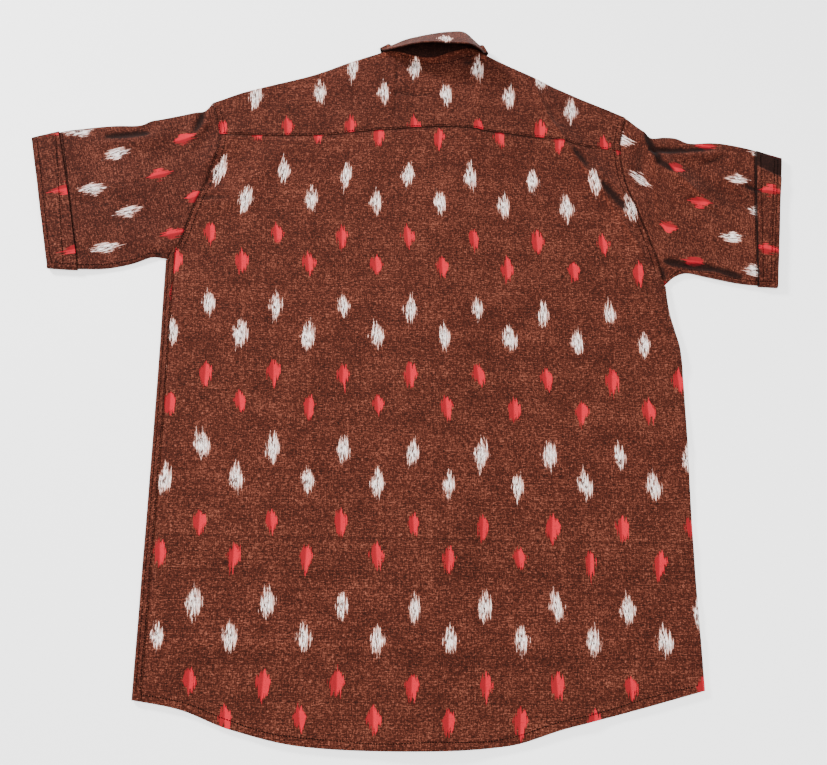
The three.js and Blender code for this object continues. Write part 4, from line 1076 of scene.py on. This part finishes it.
def motif(net, x, y, streaks, fine, row):
    """How much of one row's motifs shows at a point, how solid it is, how far right of the middle."""
    down, shift, colour = MOTIF_ROWS[row]
    half_width, up_length, down_length, vary = MOTIF_SIZES[colour]
    column = net.math("ADD", net.math("DIVIDE", x, PITCH), 0.5 - shift)
    line = net.math("ADD", net.math("DIVIDE", net.add(y, down), REPEAT), 0.5)
    cell = net.vector(net.math("FLOOR", column), net.math("FLOOR", line), row * 3.7)
    moved = net.node("ShaderNodeVectorMath", {0: cell, 1: (31.3, 17.7, 5.1)}, operation="ADD")
    own, other = net.random(cell), net.random(moved.outputs[0])
    lx = net.mul(net.sub(net.math("FRACT", column), 0.5), PITCH)
    ly = net.mul(net.sub(net.math("FRACT", line), 0.5), REPEAT)
    lx = net.add(lx, net.mul(net.sub(own, 0.5), 2.0))
    ly = net.add(ly, net.mul(net.sub(other, 0.5), 3.0))
    lx = net.sub(lx, net.mul(ly, net.mul(net.sub(other, 0.55), 0.2)))
    up = net.mul(net.add(1 - vary / 2, net.mul(own, vary)), up_length)
    tail = net.mul(net.add(1 - vary / 2, net.mul(other, vary)), down_length)
    above = net.ramp(ly, -1.5, 1.5)
    tall = net.add(net.mul(up, above), net.mul(tail, net.sub(1.0, above)))
    half = net.mul(net.add(0.88, net.mul(own, 0.24)), half_width)
    wide = net.math("DIVIDE", net.math("ABSOLUTE", lx), half)
    high = net.math("DIVIDE", net.math("ABSOLUTE", ly), tall)
    away = net.add(net.math("POWER", wide, 1.5), net.math("POWER", high, 1.2))
    jag = net.mul(net.sub(streaks, 0.5), 3.0)
    edge = net.add(net.add(away, jag), net.mul(net.sub(fine, 0.5), 0.6))
    near = net.ramp(away, 2.3, 1.6)
    return net.mul(net.ramp(edge, 1.08, 0.9), near), net.ramp(edge, 1.0, 0.3), lx


def union(net, masks):
    total = masks[0]
    for mask in masks[1:]:
        total = net.math("MAXIMUM", total, mask)
    return total


def ikat_group():
    """The brown handloom ground with its white and red ikat motifs, from cloth millimetres."""
    tree = bpy.data.node_groups.new("ikat", "ShaderNodeTree")
    tree.interface.new_socket("Cloth", in_out="INPUT", socket_type="NodeSocketVector")
    tree.interface.new_socket("Colour", in_out="OUTPUT", socket_type="NodeSocketColor")
    tree.interface.new_socket("Height", in_out="OUTPUT", socket_type="NodeSocketFloat")
    net = Net(tree)
    into, out = tree.nodes.new("NodeGroupInput"), tree.nodes.new("NodeGroupOutput")
    cloth = into.outputs[0]
    split = net.node("ShaderNodeSeparateXYZ", {0: cloth})
    x, y = split.outputs[0], split.outputs[1]

    streaks = net.noise(net.vector(net.mul(x, 0.6), net.mul(y, 0.035)), 1.0, 2.0, 0.6)
    fine = net.noise(net.vector(net.mul(x, 1.5), net.mul(y, 0.35), 9.0), 1.0, 1.0, 0.5)
    made = [motif(net, x, y, streaks, fine, row) for row in range(4)]

    warp = net.random(net.vector(net.math("FLOOR", net.math("DIVIDE", x, THREAD_PITCH)), 3.0, 1.0))
    weft = net.random(net.vector(net.math("FLOOR", net.math("DIVIDE", y, THREAD_PITCH)), 7.0, 2.0))
    slub_x = net.noise(net.vector(net.mul(x, 0.9), net.mul(y, 0.16), 4.0), 1.0, 2.0, 0.6)
    slub_y = net.noise(net.vector(net.mul(x, 0.2), net.mul(y, 0.9), 6.0), 1.0, 2.0, 0.6)
    grain = net.noise(net.vector(x, y, 2.0), 0.62, 3.0, 0.8)
    mottle = net.noise(net.vector(net.mul(x, 1.0), net.mul(y, 1.3), 8.0), 0.035, 3.0, 0.6)
    tone = net.add(net.mul(net.sub(grain, 0.5), 3.4), net.mul(net.sub(slub_y, 0.5), 2.2))
    tone = net.add(tone, net.mul(net.sub(slub_x, 0.5), 1.5))
    tone = net.add(tone, net.mul(net.sub(weft, 0.5), 0.3))
    tone = net.add(tone, net.mul(net.sub(warp, 0.5), 0.2))
    tone = net.add(tone, net.mul(net.sub(mottle, 0.5), 0.8))
    ground = net.blend(net.ramp(tone, -0.9, 0.05, smooth=False), DARK_BROWN, BROWN)
    ground = net.blend(net.ramp(tone, 0.08, 1.05, smooth=False), ground, PALE_FLECK)

    gap_noise = net.noise(net.vector(net.mul(x, 0.8), net.mul(y, 0.14), 13.0), 1.0, 2.0, 0.65)
    white_mask = union(net, [made[0][0], made[1][0]])
    white_side = net.math("MAXIMUM", net.mul(made[0][0], made[0][2]), net.mul(made[1][0], made[1][2]))
    gap = net.mul(net.ramp(gap_noise, 0.465, 0.55), net.ramp(white_side, 0.3, 4.0, 0.95, 0.5))
    solid = net.mul(union(net, [made[0][1], made[1][1]]), net.ramp(fine, 0.62, 0.42, 0.35, 1.0))
    white = net.blend(solid, WHITE_SHADE, WHITE_YARN)
    colour = net.blend(net.mul(white_mask, net.sub(1.0, gap)), ground, white)

    red_mask = union(net, [made[2][0], made[3][0]])
    red_side = union(net, [net.mul(made[k][0], net.ramp(made[k][2], -1.4, 0.8)) for k in (2, 3)])
    red = net.blend(red_side, RED_SHADE, RED_YARN)
    red = net.blend(net.ramp(tone, -0.1, -1.0, 0.0, 0.5), red, RED_SHADE)
    colour = net.blend(net.mul(red_mask, 0.95), colour, red)

    wave = math.tau / THREAD_PITCH / 2
    over = net.mul(net.math("SINE", net.mul(x, wave)), net.math("SINE", net.mul(y, wave)))
    height = net.add(net.mul(over, 0.35), net.mul(tone, 0.4))
    tree.links.new(colour, out.inputs[0])
    tree.links.new(height, out.inputs[1])
    return tree


def cloth_material(name, group, light_scale):
    """The ikat cloth, scaled lighter or darker from piece to piece as painted light and shade, with painted
    shade in troughs and painted highlights on ridges.
    """
    material, net = new_material(name)
    coordinates = net.node("ShaderNodeUVMap", uv_map="cloth").outputs[0]
    pattern = net.node("ShaderNodeGroup", node_tree=group)
    net.tree.links.new(coordinates, pattern.inputs[0])
    colour = net.blend(1.0, pattern.outputs[0], light_scale, "MULTIPLY")
    # The shade attribute paints shade above zero and paints highlights below zero.
    shade = net.node("ShaderNodeAttribute", attribute_name="shade", attribute_type="GEOMETRY")
    shade = shade.outputs["Fac"]
    colour = net.blend(net.math("MAXIMUM", shade, 0.0), colour, DEEP_SHADE)
    painted_light = net.blend(1.0, colour, HIGHLIGHT_GAIN, "MULTIPLY")
    colour = net.blend(net.math("MAXIMUM", net.mul(shade, -1.0), 0.0), colour, painted_light)
    bump = net.node("ShaderNodeBump", {"Strength": 0.35, "Distance": 0.0004, "Height": pattern.outputs[1]})
    net.surface({
        "Base Color": colour, "Roughness": 0.94, "Specular IOR Level": 0.1,
        "Sheen Weight": 0.02, "Sheen Roughness": 0.5, "Normal": bump.outputs[0],
    })
    return material


def thread_material(name, colour):
    material, net = new_material(name)
    twist = net.noise(net.place(), 2200.0, 2.0)
    shade = net.blend(net.ramp(twist, 0.3, 0.7), tuple(c * 0.55 for c in colour[:3]) + (1,), colour)
    bump = net.node("ShaderNodeBump", {"Strength": 0.3, "Distance": 0.0001, "Height": twist})
    net.surface({"Base Color": shade, "Roughness": 0.9, "Specular IOR Level": 0.05,
                 "Normal": bump.outputs[0]})
    return material


def button_material():
    material, net = new_material("button_plastic")
    place = net.place()
    swirl = net.noise(place, 320.0, 3.0)
    wear = net.noise(place, 1500.0, 2.0)
    colour = net.blend(net.ramp(swirl, 0.35, 0.65), linear(44, 24, 18), linear(84, 52, 38))
    net.surface({"Base Color": colour, "Roughness": net.ramp(wear, 0.3, 0.7, 0.28, 0.42)})
    return material


# ---------------------------------------------------------------- stitching
# Stitches are this long and wide, this far apart and this much out of line.
STITCH = {"pitch": 2.7, "length": 2.1, "radius": 0.44, "drift": 0.12, "sides": 5}
# Columns: how far along a stitch each of its rings is, how high it lies, its share of the radius.
STITCH_RINGS = [(0, -0.15, 0.55), (0.25, 0.12, 1), (0.75, 0.12, 1), (1, -0.15, 0.55)]
# Where Surface starts to look for a piece from, in metres.
LOOK_FROM = {"below": -0.05, "above": 0.2}


def tube(rings, sides):
    """A closed tube round rings, each with its centre, two directions and radius."""
    vertices = [centre + radius * (math.cos(angle) * across + math.sin(angle) * up)
                for centre, across, up, radius in rings
                for angle in (math.tau * k / sides for k in range(sides))]
    last = (len(rings) - 1) * sides
    faces = [(r + k, r + (k + 1) % sides, r + sides + (k + 1) % sides, r + sides + k)
             for r in range(0, last, sides) for k in range(sides)]
    return vertices, [*faces, tuple(reversed(range(sides))), tuple(last + k for k in range(sides))]


def joined(parts):
    """Several lots of vertices and faces as one."""
    vertices, faces = [], []
    for more, more_faces in parts:
        base = len(vertices)
        vertices += more
        faces += [tuple(i + base for i in face) for face in more_faces]
    return vertices, faces


class Surface:
    """Finds the top or the underside of finished pieces."""

    def __init__(self, *pieces):
        self.trees = [BVHTree.FromObject(p, bpy.context.evaluated_depsgraph_get()) for p in pieces]

    def point(self, x, y, below=False):
        height = LOOK_FROM["below" if below else "above"]
        start = Vector(((x + PLACE[0]) * MM, (y + PLACE[1]) * MM, height))
        way = Vector((0, 0, 1 if below else -1))
        hits = [t.ray_cast(start, way) for t in self.trees]
        hits = [h for h in hits if h[0] is not None]
        if not hits:
            return None
        return min(hits, key=lambda h: h[3])[:2]


def stitch_run(path, surface, radius=STITCH["radius"], below=False, seed=5):
    """Stitches laid end to end on a surface along a path, each a short thread that dips at its ends."""
    path = np.array(path, float)
    along = from_zero(run_lengths(path))
    rng = np.random.default_rng(seed)
    stitches = []
    for start in np.arange(0.4, along[-1] - STITCH["pitch"], STITCH["pitch"]):
        offset = rng.normal(0, STITCH["drift"])
        ends = [np.array([np.interp(s, along, path[:, k]) for k in (0, 1)])
                for s in (start, start + STITCH["length"])]
        way = ends[1] - ends[0]
        side = np.array([-way[1], way[0]]) / max(np.linalg.norm(way), 1e-6)
        hits = [surface.point(*(mix(*ends, share) + side * offset), below) for share, _, _ in STITCH_RINGS]
        if any(hit is None for hit in hits):
            continue
        rings = []
        for (point, normal), (_, lift, thick) in zip(hits, STITCH_RINGS):
            up = np.array(normal) * (1 if (normal[2] > 0) != below else -1)
            rings.append((np.array(point) / MM + up * lift, np.array([*side, 0]), up, radius * thick))
        stitches.append(tube(rings, STITCH["sides"]))
    return joined(stitches)


def thread_piece(name, runs, material, smooth=True):
    vertices, faces = joined(runs)
    mesh = bpy.data.meshes.new(name)
    mesh.from_pydata([tuple(v * MM) for v in vertices], [], faces)
    mesh.update()
    if smooth:
        mesh.shade_smooth()
    mesh.materials.append(material)
    piece = add_object(name, mesh)
    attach(piece, "root")


def line_along(axis, curve, low, high, count, inside=0.0):
    """Points on a curve over one axis, moved inside it."""
    points = [(at, curve(at) + inside) for at in np.linspace(low, high, count)]
    return points if axis == "x" else [(x, y) for y, x in points]


# ---------------------------------------------------------------- buttons
BUTTON_SIDES, BUTTON_SHARP = 40, 35
# Columns: radius, height, from the face that lies on the floor to the one towards the shirt.
BUTTON_PROFILE = [(0.4, 0.7), (3.4, 0.7), (3.9, 0.25), (4.5, 0.0), (5.2, 0.1), (5.65, 0.7), (5.65, 1.3),
                  (5.2, 2.0), (3.6, 2.35), (0.4, 2.4)]
BUTTON_HOLE = {"away": 1.15, "radius": 0.65, "sides": 16, "depth": 8, "middle": 1.2}
BUTTON_THREAD = {"apart": 0.22, "height": 0.75, "radius": 0.2, "sag": 0.25, "sides": 6, "steps": 5}
X_AXIS, Y_AXIS, Z_AXIS = np.eye(3)


def make_button(name, node, x, y, material):
    """A dished four-hole button with its face down."""
    centre = np.array([x + PLACE[0], y + PLACE[1], 0])
    profile = [(centre + Z_AXIS * height, X_AXIS, Y_AXIS, radius) for radius, height in BUTTON_PROFILE]
    vertices, faces = tube(profile, BUTTON_SIDES)
    mesh = bpy.data.meshes.new(name)
    mesh.from_pydata([tuple(v * MM) for v in vertices], [], faces)
    mesh.update()
    piece = add_object(name, mesh)
    away, middle = BUTTON_HOLE["away"], BUTTON_HOLE["middle"]
    for dx, dy in ((1, 1), (-1, 1), (1, -1), (-1, -1)):
        place = (centre + np.array([dx * away, dy * away, middle])) * MM
        bpy.ops.mesh.primitive_cylinder_add(
            vertices=BUTTON_HOLE["sides"], radius=BUTTON_HOLE["radius"] * MM,
            depth=BUTTON_HOLE["depth"] * MM, location=tuple(place))
        hole = bpy.context.object
        cut = piece.modifiers.new("hole", "BOOLEAN")
        cut.operation, cut.object, cut.solver = "DIFFERENCE", hole, "EXACT"
        bpy.context.view_layer.objects.active = piece
        bpy.ops.object.modifier_apply(modifier="hole")
        bpy.data.objects.remove(hole)
    mesh = piece.data
    mesh.shade_smooth()
    mesh.set_sharp_from_angle(angle=math.radians(BUTTON_SHARP))
    dress(piece, node, material)


def thread_bar(x, y, reach):
    """A short thread across a button, sagging between its ends."""
    return tube([(np.array([x + mix(-reach, reach, share), y,
                            BUTTON_THREAD["height"] - BUTTON_THREAD["sag"] * math.sin(math.pi * share)]),
                  -Y_AXIS, Z_AXIS, BUTTON_THREAD["radius"]) for share in steps(BUTTON_THREAD["steps"])],
                BUTTON_THREAD["sides"])


def button_threads(x, y):
    away, apart = BUTTON_HOLE["away"], BUTTON_THREAD["apart"]
    return [thread_bar(x + PLACE[0], y + PLACE[1] + side * away + shift * apart, away)
            for side in (-1, 1) for shift in (-1, 1)]


# ---------------------------------------------------------------- the shirt
def dress(piece, node, material):
    piece.data.materials.append(material)
    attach(piece, "root")
    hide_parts(node)
    return piece


# Painted light and shade: each piece's copy of the cloth is scaled darker, the left sleeve most.
PIECE_LIGHT_SCALES = {"body": (1, 1, 1, 1), "yoke": (0.92, 0.92, 0.92, 1), "left": (0.84, 0.84, 0.86, 1),
         "right": (0.96, 0.96, 0.96, 1), "collar": (0.95, 0.95, 0.95, 1)}


def make_shirt():
    group = ikat_group()
    cloth = {key: cloth_material(f"ikat_{key}", group, light_scale) for key, light_scale in PIECE_LIGHT_SCALES.items()}
    stand, leaf = make_collar()
    left = make_sleeve("left", LEFT_SLEEVE, (LEFT_ARMHOLE, LEFT_ARMHOLE_FRONT),
                       (left_armhole_x, left_armhole_front_x), LEFT_SLEEVE_CLOTH)
    right = make_sleeve("right", RIGHT_SLEEVE, (RIGHT_ARMHOLE, RIGHT_ARMHOLE_FRONT),
                        (right_armhole_x, right_armhole_front_x), RIGHT_SLEEVE_CLOTH)
    made = {
        "back": (make_back(), "body"), "yoke": (make_yoke(), "yoke"),
        "front_left": (make_left_front(), "body"), "front_right": (make_right_front(), "body"),
        "collar_stand": (stand, "collar"), "collar_leaf": (leaf, "collar"),
        "sleeve_left": (left[0], "left"), "cuff_left": (left[1], "left"),
        "sleeve_right": (right[0], "right"), "cuff_right": (right[1], "right"),
    }
    return {node: dress(piece, node, cloth[key]) for node, (piece, key) in made.items()}


def hem_seam_y(x):
    return hem_y(x) + HEM_DEPTH - 1 + 0.8 * np.sin(x / 17)


# Columns: piece, the axis and the curve that the line follows, from, to, points, how far inside it.
SEAM_LINES = [
    ("yoke", "x", back_yoke_y, -213, 232, 150, 1.4),
    ("hem", "x", hem_seam_y, -255, 290, 200, 0.0),
    ("armholes", "y", left_armhole_x, 106, 286, 80, 0.9),
    ("armholes", "y", left_armhole_x, 112, 284, 80, 6.2),
    ("armholes", "y", right_armhole_x, 92, 286, 80, -0.9),
    ("armholes", "y", right_armhole_x, 98, 284, 80, -6.6),
    ("side", "y", left_side_x, -345, 108, 150, SIDE_SEAM_INSET - 0.9),
    ("side", "y", left_side_x, -345, 104, 150, SIDE_SEAM_INSET - 5.2),
]


def sew(parts):
    """Every line of stitching that shows, above and below."""
    # The dark thread is near black: partly the thread's own colour, partly painted shade of the grooves
    # along the seams.
    dark = thread_material("thread_dark", linear(9, 4, 3))
    brown = thread_material("thread_brown", linear(50, 22, 16))
    body = Surface(parts["back"], parts["yoke"], parts["front_left"])
    lower = Surface(parts["front_left"], parts["front_right"], parts["back"], parts["yoke"])
    runs = {}
    for seed, (name, *line) in enumerate(SEAM_LINES, 1):
        runs.setdefault(name, []).append(stitch_run(line_along(*line), body, seed=seed))
    runs["neck"] = []
    for seed, (line, count, radius) in enumerate(((NECK_STITCH, 60, 0.55), (LABEL_STITCH, 24, 0.26)), 9):
        path = [even_guide(line)(share)[:2] for share in steps(count)]
        runs["neck"].append(stitch_run(path, body, radius, seed=seed))
    for name, made in runs.items():
        thread_piece(f"stitching_{name}", made, dark)
    fronts = [line_along("y", lambda y: CENTRE_X, -388, 268, 120, inside) for inside in PLACKET_LINES]
    hem = line_along("x", hem_y, -258, 288, 200, HEM_DEPTH - 1)
    made = [stitch_run(line, lower, below=True, seed=11) for line in fronts]
    thread_piece("stitching_fronts", [*made, stitch_run(hem, lower, below=True, seed=12)], brown)
    for side, shape in (("left", LEFT_SLEEVE), ("right", RIGHT_SLEEVE)):
        sew_sleeve(side, shape, Surface(parts[f"sleeve_{side}"], parts[f"cuff_{side}"]), dark)


def sew_sleeve(side, shape, sleeve, material):
    top, bottom = even_guide(shape["over"]), even_guide(shape["under"])
    runs = []
    for k, (inside_top, inside_bottom) in enumerate(CUFF_LINES[side]):
        a = top(1 - inside_top / sleeve_span(shape["over"]))
        b = bottom(1 - inside_bottom / sleeve_span(shape["under"]))
        line = [mix(a, b, s)[:2] for s in np.linspace(0.02, 0.98, 60)]
        runs += [stitch_run(line, sleeve, seed=20 + k), stitch_run(line, sleeve, below=True, seed=30 + k)]
    seam = [bottom(s)[:2] + np.array([0, 4.5]) for s in np.linspace(0.06, 0.97, 50)]
    thread_piece(f"stitching_sleeve_{side}", [*runs, stitch_run(seam, sleeve, seed=40)], material)


def button_up():
    material = button_material()
    thread = thread_material("thread_button", linear(70, 34, 26))
    places = [(f"button_{i + 1}", BUTTON_FIRST - i * BUTTON_PITCH) for i in range(BUTTON_COUNT)]
    places.append(("button_collar", COLLAR_BUTTON_Y))
    threads = []
    for node, y in places:
        make_button(f"{node}_dished", node, CENTRE_X, y, material)
        threads += button_threads(CENTRE_X, y)
    thread_piece("button_threads", threads, thread, smooth=False)


# ---------------------------------------------------------------- sheets
# Columns: piece, flat width and length in metres, flat area, what it rests on.
SHEETS = [
    ("back", (0.585, 0.665), 0.345, ("front_left", "front_right")),
    ("yoke", (0.475, 0.150), 0.0511, ("back", "front_left", "front_right")),
    ("front_left", (0.315, 0.700), 0.200, ("button_1", "front_right")),
    ("front_right", (0.295, 0.700), 0.175, ()),
    ("collar_stand", (0.380, 0.038), 0.0090, ("yoke", "front_left", "front_right")),
    ("collar_leaf", (0.430, 0.075), 0.0172, ("collar_stand",)),
    ("sleeve_left", (0.370, 0.200), 0.0615, ()), ("cuff_left", (0.325, 0.031), 0.0100, ("sleeve_left",)),
    ("sleeve_right", (0.360, 0.200), 0.0580, ()), ("cuff_right", (0.325, 0.029), 0.0088, ("sleeve_right",)),
]


def declare_sheets():
    for name, flat, area, rests in SHEETS:
        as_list(rests)


# ---------------------------------------------------------------- stage, light and camera
CAMERA = {
    "centre": (-37.65, -300.68, 1019.6), "right": (0.9989, 0.0129, 0.0449),
    "down": (0.0241, -0.9656, -0.2588), "forward": (0.0400, 0.2596, -0.9649), "lens": 43.53,
}


def make_camera():
    data = bpy.data.cameras.new("camera")
    data.lens, data.sensor_width, data.sensor_fit = CAMERA["lens"], 36.0, "HORIZONTAL"
    data.clip_start, data.clip_end = 0.01, 50
    camera = add_object("camera", data)
    right, up, back = (Vector(CAMERA["right"]), -Vector(CAMERA["down"]), -Vector(CAMERA["forward"]))
    turn = Matrix((right, up, back)).transposed().to_quaternion().to_matrix().to_4x4()
    camera.matrix_world = Matrix.Translation(Vector(CAMERA["centre"]) * MM) @ turn
    bpy.context.scene.camera = camera


def make_floor():
    bpy.ops.mesh.primitive_plane_add(size=8, location=(0, 0, -0.0002))
    floor = bpy.context.object
    floor.name = "floor"
    material, net = new_material("floor_paper")
    tone = net.noise(net.place(), 3.0, 2.0)
    colour = net.blend(net.ramp(tone, 0.3, 0.7), (0.9, 0.9, 0.9, 1), (0.93, 0.93, 0.93, 1))
    net.surface({"Base Color": colour, "Roughness": 0.8,
                 "Emission Color": (1, 1, 1, 1), "Emission Strength": 0.9})
    floor.data.materials.append(material)


def area_light(name, place, aim, size, power):
    data = bpy.data.lights.new(name, "AREA")
    data.shape, data.size, data.energy = "DISK", size, power
    light = add_object(name, data)
    light.location = place
    light.rotation_euler = (Vector(aim) - Vector(place)).to_track_quat("-Z", "Y").to_euler()


def make_lights():
    area_light("key", (-1.9, 1.5, 1.15), (0, 0.05, 0), 0.5, 158)
    area_light("fill", (0.4, -0.5, 2.1), (0, 0.1, 0), 1.8, 68)
    world = bpy.data.worlds.new("world")
    bpy.context.scene.world = world
    world.use_nodes = True
    sky = world.node_tree.nodes["Background"].inputs
    sky["Color"].default_value, sky["Strength"].default_value = (1, 1, 1, 1), 0.7


make_camera()
shirt = make_shirt()
declare_sheets()
sew(shirt)
button_up()
make_floor()
make_lights()
